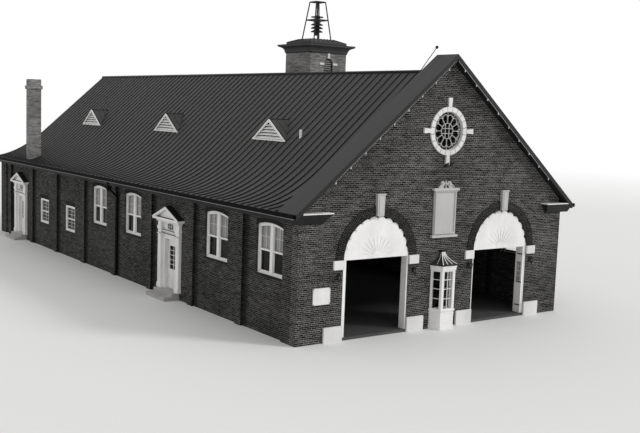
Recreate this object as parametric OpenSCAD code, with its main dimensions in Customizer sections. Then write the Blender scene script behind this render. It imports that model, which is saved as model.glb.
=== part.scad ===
/* [Building] */
// Width of the building across its front
building_w = 13000; // [12000:100:14500]
// Length of the building from front to rear
building_l = 32000; // [31600:100:34000]
// Thickness of the brick walls
wall_t = 330; // [300:10:360]
// Height of the floor inside
floor_h = 100; // [50:10:200]
// Distance between the brick pilasters of the side walls
bay_l = 3800; // [3750:10:3850]
// Width of a pilaster
pilaster_w = 420; // [300:10:500]
// How far pilasters and corner piers stand out
pilaster_d = 100; // [60:5:120]
// Length of a corner pier along the side wall
pier_l = 900; // [700:10:900]

/* [Roof] */
// Height of the main ridge
ridge_z = 9630; // [9200:10:9900]
// Rise of the main roof for each unit across, above the flare
upper_slope = 0.9; // [0.86:0.01:0.93]
// Distance from the ridge at which the roof starts to flare
flare_x = 3900; // [3600:50:4200]
// Rise for each unit across at the eave
eave_slope = 0.12; // [0.05:0.01:0.3]
// How far the eaves stand out from the side walls
eave_out = 450; // [380:10:500]
// Thickness of the roof, measured upright
roof_t = 120; // [80:5:160]
// How far the roof stands out at the front and rear
verge_out = 350; // [250:10:450]
// Depth of the raised front strip behind the front wall face
strip_d = 800; // [600:10:1000]
// Height of the ridge of the raised front strip
strip_ridge_z = 10250; // [10050:10:10500]
// Thickness of the raised strip, measured upright
strip_t = 200; // [150:10:260]
// Width and depth of the gutters
gutter_w = 130; // [100:5:160]
// Thickness of the gutter metal
gutter_t = 8; // [5:1:12]

/* [Engine bays] */
// Distance of each arch's middle from the middle of the front
arch_x = 3150; // [3000:10:3300]
// Radius of the arches
arch_r = 1500; // [1400:10:1520]
// Height at which the arches spring
spring_z = 2870; // [2700:10:2900]
// Width of the brick ring round an arch
ring_w = 350; // [250:10:380]
// Height of the keystones
keystone_h = 800; // [600:10:820]
// Width of a keystone at its middle
keystone_w = 320; // [280:10:400]
// How far a keystone stands out from the wall
keystone_d = 130; // [80:10:200]
// Width of an impost block
impost_w = 450; // [350:10:480]
// Height of an impost block
impost_h = 320; // [250:10:350]
// How far stone trim stands out from the wall
trim_d = 80; // [50:5:120]
// Height of the base blocks
base_h = 550; // [400:10:600]
// Width of the base blocks
base_w = 800; // [600:10:840]

/* [Round window] */
// Height of the round window's middle
oculus_z = 7430; // [7300:10:7500]
// Outer radius of its stone ring
oculus_r = 900; // [850:10:950]
// Radius of its glass
oculus_glass_r = 720; // [680:10:740]
// Length of the four stone keys round it
oculus_key_l = 330; // [250:10:350]
// Width of those keys
oculus_key_w = 170; // [120:10:220]

/* [Side windows] */
// Width of a paired window
pair_w = 1750; // [1600:10:1850]
// Height of the sill of a paired window
pair_sill_z = 2140; // [2050:10:2200]
// Height of the top of a paired window
pair_head_z = 4030; // [3950:10:4080]
// Width of a single window
single_w = 1300; // [1100:10:1400]
// Height of the sill of a single window
single_sill_z = 1320; // [1200:10:1400]
// Height of the top of a single window
single_head_z = 2660; // [2550:10:2750]
// Rise of the curved heads of the paired windows
head_arch_h = 120; // [90:10:180]
// Rise of the heads of the single windows
single_arch_h = 20; // [10:5:60]
// Width of the window frame members
frame_w = 90; // [70:5:110]
// Depth of the window frames
frame_d = 80; // [60:5:100]
// How far the frames stand back from the wall face
frame_back = 80; // [60:5:110]
// How far the frames of the single windows stand back
single_back = 20; // [10:5:60]
// Thickness of the window glass
glass_t = 8; // [6:1:12]
// Thickness of the window sills
sill_t = 60; // [50:5:90]
// How far the sills stand out
sill_out = 30; // [20:5:60]

/* [Side doors] */
// Width of a side door leaf
leaf_w = 960; // [900:10:980]
// Height of a side door leaf
leaf_h = 2120; // [2050:10:2160]
// Thickness of a side door leaf
leaf_t = 45; // [40:1:55]
// Gap between a leaf and what is round it
leaf_gap = 8; // [6:1:12]
// Height of the side door sills
door_sill_z = 300; // [250:10:350]
// Width of the door opening in the brick
doorway_w = 1120; // [1110:10:1200]
// Height of the top of the doorway in the brick
doorway_top_z = 3200; // [3150:10:3250]
// Width of the door surround and its hood
surround_w = 1920; // [1860:10:2000]
// How far the pilasters of the surround stand out
surround_d = 130; // [100:5:160]
// Width of those pilasters
door_pilaster_w = 300; // [260:10:320]
// Height of the hood's underside
hood_z = 3230; // [3200:10:3300]
// Height of the hood's peak
hood_peak_z = 3830; // [3780:10:3880]
// How far the hood stands out
hood_d = 290; // [250:10:340]

/* [Canted bay window] */
// Width of the canted bay at the wall
cant_w = 1020; // [1000:10:1080]
// Width of its front face
cant_front_w = 660; // [640:10:700]
// How far it stands out
cant_d = 440; // [410:10:460]
// Width of the opening for glass in its front face
cant_pane_w = 430; // [380:10:440]
// Width of the opening for glass in each slanted face
cant_side_pane_w = 300; // [260:10:310]
// Height of its glass bottom
cant_sill_z = 800; // [750:10:850]
// Height of its glass top
cant_head_z = 2200; // [2150:10:2250]
// Height of the eave of its roof
cant_eave_z = 2430; // [2400:10:2480]
// Height of the top of its roof
cant_roof_z = 2980; // [2900:10:3050]

/* [Hose tower] */
// Side of the square tower
tower_s = 2100; // [2000:10:2200]
// Distance of the tower's left face from the ridge line
tower_x = 1430; // [1300:10:1700]
// Distance of the tower's front face from the front wall
tower_y = 11100; // [11000:10:11200]
// Thickness of the tower walls
tower_t = 200; // [150:10:220]
// Height of the underside of the tower cornice
tower_top_z = 10780; // [10700:10:10850]
// Height of the cornice
tower_cornice_h = 350; // [320:10:380]
// How far the cornice stands out
tower_cornice_out = 310; // [280:10:340]
// Height of the cap above the cornice
cap_h = 290; // [250:10:320]
// Half the width of the cap's flat top
deck_half = 620; // [580:10:700]
// Height of the siren frame
siren_frame_h = 1790; // [1700:10:1900]
// Half the width of the siren frame at its foot
frame_foot_w = 500; // [450:10:540]
// Half the width of the siren frame at its head
frame_head_w = 270; // [240:10:320]
// Thickness of the siren frame's bars
frame_bar = 60; // [40:2:70]
// Radius of the siren's drum
drum_r = 130; // [100:5:150]
// Radius of the siren's horns
horn_r = 300; // [250:5:320]

/* [Chimney] */
// Height of the top of the chimney
chimney_z = 9150; // [9000:10:9300]
// Size of the chimney along the wall
chimney_l = 750; // [700:10:800]
// Size of the chimney across the wall
chimney_w = 600; // [560:10:640]
// Distance from the middle of the rear side door to the chimney's front face
chimney_back = 1500; // [1450:10:1550]

/* [Roof vents] */
// Width of a roof vent at its foot
vent_w = 2600; // [2400:10:2700]
// Height of a roof vent's face
vent_h = 890; // [850:10:920]
// Distance of the vent faces from the ridge line
vent_x = 3250; // [3200:10:3300]
// Distance of the first vent's middle from the front wall
vent_first_y = 7250; // [7200:10:7300]
// Distance from one vent to the next
vent_pitch = 9450; // [9400:10:9500]

/* [Hidden] */
$fn = 48;

half_w = building_w / 2;
front_y = -building_l / 2;
rear_y = building_l / 2;
eave_x = half_w + eave_out;
fit = 0.5;
far = 20000;
flare_steps = 9;

// Heights of the main roof's upper face and of the raised front strip
flare_run = eave_x - flare_x;
function flare_share(x) = (x - flare_x) / flare_run;
function flare_drop(s) = flare_run * (upper_slope * s - (upper_slope - eave_slope) * s * s / 2);
function roof_z(x) = x <= flare_x ? ridge_z - upper_slope * x
    : ridge_z - upper_slope * flare_x - flare_drop(flare_share(x));
eave_z = roof_z(eave_x);
flare_xs = [for (i = [0 : flare_steps]) flare_x + flare_run * i / flare_steps];
right_half = concat([0], flare_xs);
left_half = [for (i = [len(flare_xs) - 1 : -1 : 0]) -flare_xs[i]];
roof_xs = concat(left_half, right_half);
function roof_points(drop) = [for (x = roof_xs) [x, roof_z(abs(x)) - drop]];
cornice_drop = 365;
cornice_z = eave_z - cornice_drop;

// Places along the side walls, in bays counted from the front
bays = floor((building_l - pier_l) / bay_l);
function bay_y(i) = front_y + (i - 0.5) * bay_l;
middle_door_bay = 3;
middle_door_y = bay_y(middle_door_bay);
rear_door_y = bay_y(bays);
pair_bays_left = [for (i = [1 : bays - 3]) if (i != middle_door_bay) i];
single_bays_left = [bays - 2, bays - 1];
chimney_y = rear_door_y - chimney_back;
leaf_back = 140;
leaf_x0 = -half_w + leaf_back;
vent_ys = [for (i = [0 : 2]) front_y + vent_first_y + i * vent_pitch];
rear_window_x = 3200;

// Flat outlines drawn across the building and pushed along it
module along_y(y0, y1) {
    translate([0, y1, 0]) rotate([90, 0, 0]) linear_extrude(height = y1 - y0) children();
}
// Flat outlines drawn on a side wall, with Y to the right, and pushed along X
module along_x(x0, x1) {
    translate([x0, 0, 0]) rotate([90, 0, 90]) linear_extrude(height = x1 - x0) children();
}
module box_from(low, high) {
    translate(low) cube(high - low);
}
module both_sides() {
    children();
    mirror([1, 0, 0]) children();
}
// Round bar from one point to another
module bar(a, b, d) {
    v = b - a;
    turn = atan2(v[1], v[0]);
    lean = acos(v[2] / norm(v));
    translate(a) rotate([0, lean, turn]) cylinder(h = norm(v), d = d, $fn = 16);
}

// Everything below a line that lies drop under the main roof's upper face
module under_roof(drop) {
    polygon(concat([[-eave_x, -far]], roof_points(drop), [[eave_x, -far]]));
}
// Everything below a line that lies drop under the raised strip's upper face
module under_strip(drop) {
    polygon([[-eave_x, -far], [-eave_x, eave_z - drop], [0, strip_ridge_z - drop],
        [eave_x, eave_z - drop], [eave_x, -far]]);
}

module floor_slab() {
    color("darkgray") {
        box_from([-half_w + wall_t, front_y + wall_t, 0], [half_w - wall_t, rear_y - wall_t, floor_h]);
        for (s = [-1, 1])
            box_from([s * arch_x - arch_r, front_y, 0], [s * arch_x + arch_r, front_y + wall_t, floor_h]);
    }
}

// Opening with a curved head, standing on z0, with its middle at u
module curved_head(u, w, z0, z1, rise) {
    r = (w * w / 4 + rise * rise) / (2 * rise);
    intersection() {
        translate([u, z1 - r]) circle(r, $fn = 96);
        translate([u - w / 2, z0]) square([w, z1 - z0]);
    }
}

module pair_opening(u) {
    curved_head(u, pair_w, pair_sill_z - sill_t, pair_head_z, head_arch_h);
}
module single_opening(u) {
    curved_head(u, single_w, single_sill_z - sill_t, single_head_z, single_arch_h);
}

module side_windows(pairs, singles) {
    for (i = pairs) pair_opening(bay_y(i));
    for (i = singles) single_opening(bay_y(i));
}

// Plain length of the left wall, cut to the roof's underside
module wall_length(y0, y1, z0) {
    along_y(y0, y1) intersection() {
        translate([-half_w, z0]) square([wall_t, far]);
        under_roof(roof_t);
    }
}

module pilaster(y, w) {
    box_from([-half_w - pilaster_d, y - w / 2, 0], [-half_w, y + w / 2, cornice_z]);
}

module chimney_room(out) {
    box_from([-half_w - out, chimney_y, cornice_z],
        [-half_w + chimney_w, chimney_y + chimney_l, chimney_z]);
}

// Left wall from y0 to y1 with its pilasters and windows
module left_wall_piece(y0, y1) {
    color("dimgray")
    difference() {
        union() {
            wall_length(y0, y1, 0);
            for (i = [1 : bays]) {
                y = front_y + i * bay_l;
                if (y > y0 && y < y1) pilaster(y, pilaster_w);
            }
        }
        along_x(-half_w - 2 * pilaster_d, -half_w + 2 * wall_t)
            side_windows(pair_bays_left, single_bays_left);
        chimney_room(20);
    }
}

module corner_pier(y0, y1) {
    color("dimgray") box_from([-half_w - pilaster_d, y0, 0], [-half_w, y1, cornice_z]);
}

module left_wall_front() {
    left_wall_piece(front_y + wall_t, middle_door_y - doorway_w / 2);
    corner_pier(front_y + wall_t, front_y + pier_l);
}
module left_wall_middle() {
    left_wall_piece(middle_door_y + doorway_w / 2, rear_door_y - doorway_w / 2);
}
module left_wall_rear() {
    left_wall_piece(rear_door_y + doorway_w / 2, rear_y - wall_t);
    corner_pier(rear_y - pier_l, rear_y - wall_t);
}
module over_door(y) {
    color("dimgray") wall_length(y - doorway_w / 2, y + doorway_w / 2, doorway_top_z);
}
module left_wall_over_middle_door() {
    over_door(middle_door_y);
}
module left_wall_over_rear_door() {
    over_door(rear_door_y);
}

module right_wall() {
    color("dimgray")
    mirror([1, 0, 0]) difference() {
        union() {
            wall_length(front_y + wall_t, rear_y - wall_t, 0);
            for (i = [1 : bays]) pilaster(front_y + i * bay_l, pilaster_w);
            corner_pier(front_y + wall_t, front_y + pier_l);
            corner_pier(rear_y - pier_l, rear_y - wall_t);
        }
        along_x(-half_w - 2 * pilaster_d, -half_w + 2 * wall_t) side_windows([1 : bays], []);
    }
}

module engine_bay_opening() {
    translate([arch_x, spring_z]) circle(arch_r, $fn = 96);
    translate([arch_x - arch_r, -1]) square([2 * arch_r, spring_z + 1]);
}

module front_wall() {
    color("gray")
    difference() {
        union() {
            along_y(front_y, front_y + wall_t) intersection() {
                translate([-half_w, 0]) square([building_w, far]);
                under_strip(strip_t);
            }
            both_sides()
                box_from([-half_w - pilaster_d, front_y, 0], [-half_w, front_y + wall_t, cornice_z]);
        }
        along_y(front_y - wall_t, front_y + 2 * wall_t) {
            engine_bay_opening();
            mirror([1, 0]) engine_bay_opening();
            translate([-cant_front_w / 2, cant_sill_z]) square([cant_front_w, cant_head_z - cant_sill_z]);
            translate([0, oculus_z]) circle(oculus_glass_r + frame_w / 2, $fn = 96);
        }
    }
}

module rear_wall() {
    color("dimgray")
    difference() {
        union() {
            along_y(rear_y - wall_t, rear_y) intersection() {
                translate([-half_w, 0]) square([building_w, far]);
                under_roof(roof_t);
            }
            both_sides()
                box_from([-half_w - pilaster_d, rear_y - wall_t, 0], [-half_w, rear_y, cornice_z]);
        }
        along_y(rear_y - 2 * wall_t, rear_y + wall_t) {
            pair_opening(-rear_window_x);
            pair_opening(rear_window_x);
        }
    }
}

module main_roof() {
    color("darkslategray")
    difference() {
        along_y(front_y + strip_d, rear_y + verge_out) difference() {
            under_roof(0);
            under_roof(roof_t);
        }
        chimney_room(0);
    }
}

module front_roof_strip() {
    color("darkslategray") {
        along_y(front_y - verge_out, front_y + wall_t) difference() {
            under_strip(0);
            under_strip(strip_t);
        }
        along_y(front_y + wall_t, front_y + strip_d) difference() {
            under_strip(0);
            under_roof(roof_t);
        }
    }
}

// Cornice under the left eave: a bed board on the wall and a hollow curve out to the roof edge
bed_h = 90;
bed_out = 40;
module cornice_outline() {
    bed_x = -half_w - pilaster_d - bed_out;
    cove = bed_x + eave_x;
    intersection() {
        difference() {
            translate([-eave_x, cornice_z]) square([eave_x - half_w, far]);
            translate([-eave_x - far, cornice_z - 1]) square([far + cove, bed_h + 1]);
            translate([-eave_x, cornice_z + bed_h]) scale([1, bed_h / cove]) circle(cove);
        }
        under_roof(roof_t);
    }
}

module eave_cornices() {
    color("dimgray") both_sides() along_y(front_y + wall_t, rear_y + verge_out) cornice_outline();
}

// Short lengths of cornice that turn the front corners, with a thin sloped cover
return_w = 1550;
return_foot = 90;
return_top_z = cornice_z + 340;
cover_h = 40;
module return_block(out, reach, z0, z1) {
    box_from([-eave_x, front_y - out, z0], [-eave_x + reach, front_y, z1]);
}
module gable_returns() {
    grow = verge_out - return_foot;
    color("dimgray") both_sides() {
        intersection() {
            union() {
                hull() {
                    return_block(return_foot, return_w - grow, cornice_z, cornice_z + bed_h);
                    return_block(verge_out, return_w, return_top_z - 2 * fit, return_top_z);
                }
                return_block(verge_out, return_w, return_top_z - fit, return_top_z + cover_h);
            }
            along_y(front_y - verge_out, front_y) under_strip(strip_t);
        }
        along_y(front_y, front_y + wall_t) intersection() {
            cornice_outline();
            under_strip(strip_t);
        }
    }
}

module gutters() {
    color("dimgray") both_sides() along_y(front_y - verge_out, rear_y + verge_out)
        translate([-eave_x - gutter_w, eave_z - gutter_w]) difference() {
            square([gutter_w, gutter_w]);
            translate([gutter_t, gutter_t]) square([gutter_w - 2 * gutter_t, gutter_w]);
        }
}

spout_d = 90;
spout_gap = 30;
strap_w = 120;
strap_h = 30;
strap_zs = [400, 2100];
spout_bay = 4;
spout_y = bay_y(spout_bay) + bay_l / 2 - pilaster_w / 2 - strap_w / 2 - spout_gap;
spout_x = -half_w - spout_d / 2 - 10;
outlet_x = -eave_x - gutter_w / 2;
module downspouts() {
    bends = [[outlet_x, spout_y, cornice_z - 40], [spout_x, spout_y, cornice_z - 500]];
    color("dimgray") both_sides() {
        bar([outlet_x, spout_y, eave_z - gutter_w], bends[0], spout_d);
        bar(bends[0], bends[1], spout_d);
        bar(bends[1], [spout_x, spout_y, 150], spout_d);
        for (p = bends) translate(p) sphere(d = spout_d + 12, $fn = 24);
        for (z = strap_zs)
            box_from([spout_x - 20, spout_y - strap_w / 2, z], [-half_w, spout_y + strap_w / 2, z + strap_h]);
    }
}

// Rod with a ball on its end, leaning forward from the ridge
rod_foot_y = 1730;
rod_reach = 900;
module ridge_rod() {
    foot = [0, front_y + rod_foot_y, ridge_z];
    tip = foot + [0, -rod_reach, rod_reach];
    color("dimgray") {
        difference() {
            bar(foot + [0, 40, -40], tip, 30);
            along_y(front_y, rear_y) under_roof(0);
        }
        translate(tip) sphere(60, $fn = 24);
    }
}

// Gable face of a roof vent, drawn with Y to the right
module vent_outline(y, inset) {
    lift = inset * 0.6;
    polygon([[y - vent_w / 2 + 2.2 * inset, lift], [y + vent_w / 2 - 2.2 * inset, lift],
        [y, vent_h - 1.2 * inset]]);
}

module vent_gablets() {
    color("darkslategray") both_sides() difference() {
        translate([0, 0, roof_z(vent_x)]) for (y = vent_ys)
            along_x(-vent_x, -vent_x + 1.6 * vent_h) vent_outline(y, 0);
        along_y(front_y, rear_y) under_roof(0);
        translate([0, 0, roof_z(vent_x)]) for (y = vent_ys)
            along_x(-vent_x - 1, -vent_x + 90) vent_outline(y, 100);
    }
}

slat_n = 5;
slat_h = 70;
slat_pitch = (vent_h - 240) / slat_n;
// One slanting slat, as seen along the building, with its outer edge low
module slat() {
    polygon([[0, 0], [0, 25], [70, slat_h + 25], [70, slat_h]]);
}
module vent_louvres() {
    color("white") both_sides() translate([0, 0, roof_z(vent_x)]) for (y = vent_ys) {
        along_x(-vent_x - 30, -vent_x) difference() {
            vent_outline(y, 0);
            vent_outline(y, 110);
        }
        intersection() {
            along_x(-vent_x - 5, -vent_x + 80) vent_outline(y, 105);
            for (i = [0 : slat_n - 1]) along_y(y - vent_w / 2, y + vent_w / 2)
                translate([-vent_x - 5, 80 + i * slat_pitch]) slat();
        }
    }
}

module vent_pipe() {
    pipe_x = 3000;
    pipe_y = vent_ys[0] - 1970;
    color("white") difference() {
        translate([-pipe_x, pipe_y, roof_z(pipe_x) - 100]) cylinder(h = 400, d = 110);
        along_y(front_y, rear_y) under_roof(0);
    }
}

tower_cx = tower_x + tower_s / 2;
tower_cy = front_y + tower_y + tower_s / 2;
louvre_w = 530;
louvre_z = 9800;
louvre_h = 430;
module louvre_opening() {
    translate([-louvre_w / 2, louvre_z]) square([louvre_w, louvre_h]);
    translate([0, louvre_z + louvre_h]) circle(louvre_w / 2);
}
module at_tower() {
    translate([tower_cx, tower_cy, 0]) children();
}
module four_ways() {
    for (a = [0 : 90 : 270]) rotate([0, 0, a]) children();
}
module front_and_rear() {
    children();
    mirror([0, 1, 0]) children();
}

module tower_walls() {
    color("gray") difference() {
        at_tower() difference() {
            translate([-tower_s / 2, -tower_s / 2, 0]) cube([tower_s, tower_s, tower_top_z]);
            translate([-tower_s / 2 + tower_t, -tower_s / 2 + tower_t, -1])
                cube([tower_s - 2 * tower_t, tower_s - 2 * tower_t, tower_top_z + 2]);
            along_y(-tower_s, tower_s) louvre_opening();
        }
        along_y(front_y, rear_y) under_roof(0);
    }
}

// Half outline of the tower cornice: a hollow curve that grows outwards, then a set-back tier and a low cap
lip_h = 50;
tier_h = 140;
deck_z = tower_top_z + tower_cornice_h + cap_h;
module cornice_half() {
    out = tower_s / 2 + tower_cornice_out;
    top = tower_top_z + tower_cornice_h;
    fillet = tower_s / 2 + lip_h;
    cove_w = out - fillet - lip_h / 2;
    cove_h = tower_cornice_h - 2 * lip_h;
    difference() {
        polygon([[0, tower_top_z], [fillet, tower_top_z], [out, top - lip_h], [out, top],
            [tower_s / 2, top + lip_h / 2], [tower_s / 2, top + tier_h], [deck_half, deck_z], [0, deck_z]]);
        translate([fillet + cove_w, tower_top_z - 1]) square([far, cove_h + 1]);
        translate([fillet + cove_w, tower_top_z]) scale([cove_w / cove_h, 1]) circle(cove_h);
    }
    translate([fillet + cove_w, top - 1.5 * lip_h]) square([out - fillet - cove_w, lip_h]);
}

module cornice_run() {
    along_y(-far / 4, far / 4) {
        cornice_half();
        mirror([1, 0]) cornice_half();
    }
}

module tower_cornice() {
    color("gray") at_tower() intersection() {
        cornice_run();
        rotate([0, 0, 90]) cornice_run();
    }
}

// Louvres of the tower: a frame with cut slots, stone stubs at its sides and a small key over it
slot_n = 6;
slot_h = 40;
stub_l = 250;
stub_h = 100;
tower_key_w = 130;
tower_key_h = 230;
module tower_louvres() {
    slot_pitch = (louvre_h + louvre_w / 2 - slot_h) / (slot_n + 1);
    color("dimgray") at_tower() front_and_rear() along_y(-tower_s / 2 + 60, -tower_s / 2 + 100) difference() {
        louvre_opening();
        for (i = [1 : slot_n]) translate([-louvre_w / 2 + 50, louvre_z + i * slot_pitch])
            square([louvre_w - 100, slot_h]);
    }
}
module tower_stones() {
    spring = louvre_z + louvre_h;
    at_tower() front_and_rear() {
        for (s = [-1, 1]) along_y(-tower_s / 2 - 40, -tower_s / 2)
            translate([s * (louvre_w + stub_l) / 2 - stub_l / 2, spring - stub_h / 2])
            square([stub_l, stub_h]);
        along_y(-tower_s / 2 - 40, -tower_s / 2)
            translate([-tower_key_w / 2, spring + louvre_w / 2]) square([tower_key_w, tower_key_h]);
    }
}

// Four leaning legs, a square of bars half way up, and one at the top with a cross
function frame_half(z) = frame_foot_w + (frame_head_w - frame_foot_w) * z / siren_frame_h;
module siren_frame() {
    dip = -100;
    foot = frame_half(dip);
    mid_h = siren_frame_h * 0.52;
    mid = frame_half(mid_h);
    head = [frame_head_w, frame_head_w, siren_frame_h];
    color("gray") at_tower() translate([0, 0, deck_z]) difference() {
        four_ways() {
            bar([foot, foot, dip], head, frame_bar);
            bar(head - [2 * frame_head_w, 0, 0], head, frame_bar);
            bar([-mid, mid, mid_h], [mid, mid, mid_h], frame_bar);
            bar([0, 0, siren_frame_h], [frame_head_w, 0, siren_frame_h], frame_bar);
            translate(head) sphere(d = frame_bar, $fn = 16);
        }
        translate([-far / 10, -far / 10, -far / 10]) cube([far / 5, far / 5, far / 10]);
    }
}

// Siren: a drum with a stack of flared horns, on three feet, hung by a rod from the frame
drum_z0 = 200;
drum_z1 = 1150;
horn_zs = [380, 550, 710];
siren_top_z = 1060;
siren_foot_w = 40;
module siren() {
    hang_h = siren_frame_h - frame_bar / 2 - drum_z1 - fit;
    color("dimgray") at_tower() translate([0, 0, deck_z]) {
        rotate_extrude() {
            translate([0, drum_z0]) square([drum_r, drum_z1 - drum_z0]);
            for (z = horn_zs) polygon([[0, z], [drum_r, z + 30], [horn_r, z - 20], [horn_r, z + 10],
                [drum_r, z + 90], [0, z + 90]]);
            translate([0, siren_top_z]) square([horn_r, siren_foot_w]);
            translate([0, siren_top_z - 240]) square([drum_r + 50, 180]);
        }
        translate([0, 0, drum_z1 - 1]) cylinder(h = hang_h + 1, d = 80);
        for (a = [30 : 120 : 270]) rotate([0, 0, a]) translate([drum_r - siren_foot_w, -siren_foot_w / 2, 0])
            cube([siren_foot_w, siren_foot_w, drum_z0 + 10]);
    }
}

corbel_out = 60;
corbel_h = 200;
corbel_drop = 530;
flue_wall = 180;
module chimney() {
    x0 = -half_w;
    y0 = chimney_y;
    x1 = x0 + chimney_w;
    y1 = y0 + chimney_l;
    corbel_z = chimney_z - corbel_drop;
    color("gray") difference() {
        union() {
            box_from([x0, y0, cornice_z], [x1, y1, chimney_z]);
            box_from([x0 + wall_t, y0, floor_h], [x1, y1, cornice_z]);
            box_from([x0 - corbel_out, y0 - corbel_out, corbel_z],
                [x1 + corbel_out, y1 + corbel_out, corbel_z + corbel_h]);
        }
        box_from([x0 + flue_wall, y0 + flue_wall, corbel_z], [x1 - flue_wall, y1 - flue_wall, chimney_z + 1]);
    }
}

// Frame of one window, w wide from z0 to z1, with a mullion and a meeting rail
rail_h = 50;
module frame_outline(u, w, z0, z1, rise, mullion) {
    difference() {
        curved_head(u, w - 2 * fit, z0, z1 - fit, rise);
        difference() {
            curved_head(u, w - 2 * frame_w, z0 + frame_w, z1 - frame_w, rise * 0.85);
            if (mullion) translate([u - frame_w, z0]) square([2 * frame_w, z1 - z0]);
            translate([u - w / 2, (z0 + z1 - rise - rail_h) / 2]) square([w, rail_h]);
        }
    }
}
module pair_frame(u) {
    frame_outline(u, pair_w, pair_sill_z, pair_head_z, head_arch_h, true);
}
module single_frame(u) {
    frame_outline(u, single_w, single_sill_z, single_head_z, single_arch_h, false);
}
module pane(u, w, z0, z1, rise) {
    curved_head(u, w - frame_w, z0 + frame_w / 2, z1 - frame_w / 2, rise);
}
module pair_pane(u) {
    pane(u, pair_w, pair_sill_z, pair_head_z, head_arch_h);
}
module single_pane(u) {
    pane(u, single_w, single_sill_z, single_head_z, single_arch_h);
}

module window_frames() {
    x0 = half_w - frame_back - frame_d;
    x1 = half_w - single_back - frame_d;
    color("white") {
        mirror([1, 0, 0]) {
            along_x(x0, x0 + frame_d) for (i = pair_bays_left) pair_frame(bay_y(i));
            along_x(x1, x1 + frame_d) for (i = single_bays_left) single_frame(bay_y(i));
        }
        along_x(x0, x0 + frame_d) for (i = [1 : bays]) pair_frame(bay_y(i));
        along_y(rear_y - frame_back - frame_d, rear_y - frame_back) {
            pair_frame(-rear_window_x);
            pair_frame(rear_window_x);
        }
    }
}

module window_glass() {
    x0 = half_w - frame_back - frame_d - glass_t;
    x1 = half_w - single_back - frame_d - glass_t;
    color("lightblue") {
        mirror([1, 0, 0]) {
            along_x(x0, x0 + glass_t) for (i = pair_bays_left) pair_pane(bay_y(i));
            along_x(x1, x1 + glass_t) for (i = single_bays_left) single_pane(bay_y(i));
        }
        along_x(x0, x0 + glass_t) for (i = [1 : bays]) pair_pane(bay_y(i));
        along_y(rear_y - frame_back - frame_d - glass_t, rear_y - frame_back - frame_d) {
            pair_pane(-rear_window_x);
            pair_pane(rear_window_x);
        }
    }
}

module sill(u, w, z) {
    box_from([half_w - wall_t, u - w / 2, z - sill_t], [half_w + sill_out, u + w / 2, z]);
}
module window_sills() {
    color("white") {
        mirror([1, 0, 0]) {
            for (i = pair_bays_left) sill(bay_y(i), pair_w, pair_sill_z);
            for (i = single_bays_left) sill(bay_y(i), single_w, single_sill_z);
        }
        for (i = [1 : bays]) sill(bay_y(i), pair_w, pair_sill_z);
        for (s = [-1, 1]) box_from([s * rear_window_x - pair_w / 2, rear_y - wall_t, pair_sill_z - sill_t],
            [s * rear_window_x + pair_w / 2, rear_y + sill_out, pair_sill_z]);
    }
}

// Surround of one side door: lining, panel with an oval light, pilasters, frieze and a gabled hood
transom_z = door_sill_z + leaf_h + 2 * leaf_gap;
lining_w = (doorway_w - leaf_w) / 2 - leaf_gap;
oval_w = 560;
oval_h = 290;
oval_z = 2970;
capital_h = 130;
capital_z = hood_z - 430;
foot_h = 180;
band_out = 25;
panel_back = 110;
hood_edge_h = 110;
hood_w = surround_w + 440;
module oval(y) {
    translate([y, oval_z]) scale([oval_w / oval_h, 1]) circle(oval_h / 2);
}
module surround_face(y, w) {
    difference() {
        translate([y - w / 2, door_sill_z]) square([w, hood_z - door_sill_z]);
        translate([y - doorway_w / 2 + lining_w, door_sill_z - 1])
            square([doorway_w - 2 * lining_w, transom_z - door_sill_z + 1]);
        oval(y);
    }
}
module hood_gable(y) {
    polygon([[y - hood_w / 2, hood_z], [y + hood_w / 2, hood_z], [y + hood_w / 2, hood_z + hood_edge_h],
        [y, hood_peak_z], [y - hood_w / 2, hood_z + hood_edge_h]]);
}
// Sunk triangle in the face of the hood
module tympanum(y) {
    half = hood_w / 2 - 3 * hood_edge_h;
    polygon([[y - half, hood_z + hood_edge_h], [y + half, hood_z + hood_edge_h],
        [y, hood_peak_z - 1.2 * hood_edge_h]]);
}
module surround(y) {
    x_wall = -half_w;
    along_x(x_wall, leaf_x0 + leaf_t) intersection() {
        surround_face(y, doorway_w);
        translate([y - doorway_w / 2, door_sill_z]) square([doorway_w, doorway_top_z - door_sill_z]);
    }
    along_x(x_wall - surround_d + panel_back, x_wall) surround_face(y, surround_w - door_pilaster_w);
    for (s = [-1, 1]) {
        mid = y + s * (surround_w - door_pilaster_w) / 2;
        box_from([x_wall - surround_d, mid - door_pilaster_w / 2, door_sill_z],
            [x_wall, mid + door_pilaster_w / 2, hood_z]);
        for (band = [[door_sill_z, foot_h], [capital_z, capital_h]])
            box_from([x_wall - surround_d - band_out, mid - door_pilaster_w / 2 - band_out, band[0]],
                [x_wall, mid + door_pilaster_w / 2 + band_out, band[0] + band[1]]);
    }
    along_x(x_wall - surround_d - 2 * band_out, x_wall)
        translate([y - surround_w / 2 - 2 * band_out, hood_z - bed_h])
        square([surround_w + 4 * band_out, bed_h]);
    difference() {
        along_x(x_wall - hood_d, x_wall) hood_gable(y);
        along_x(x_wall - hood_d - 1, x_wall - hood_d + panel_back) tympanum(y);
    }
}
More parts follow.
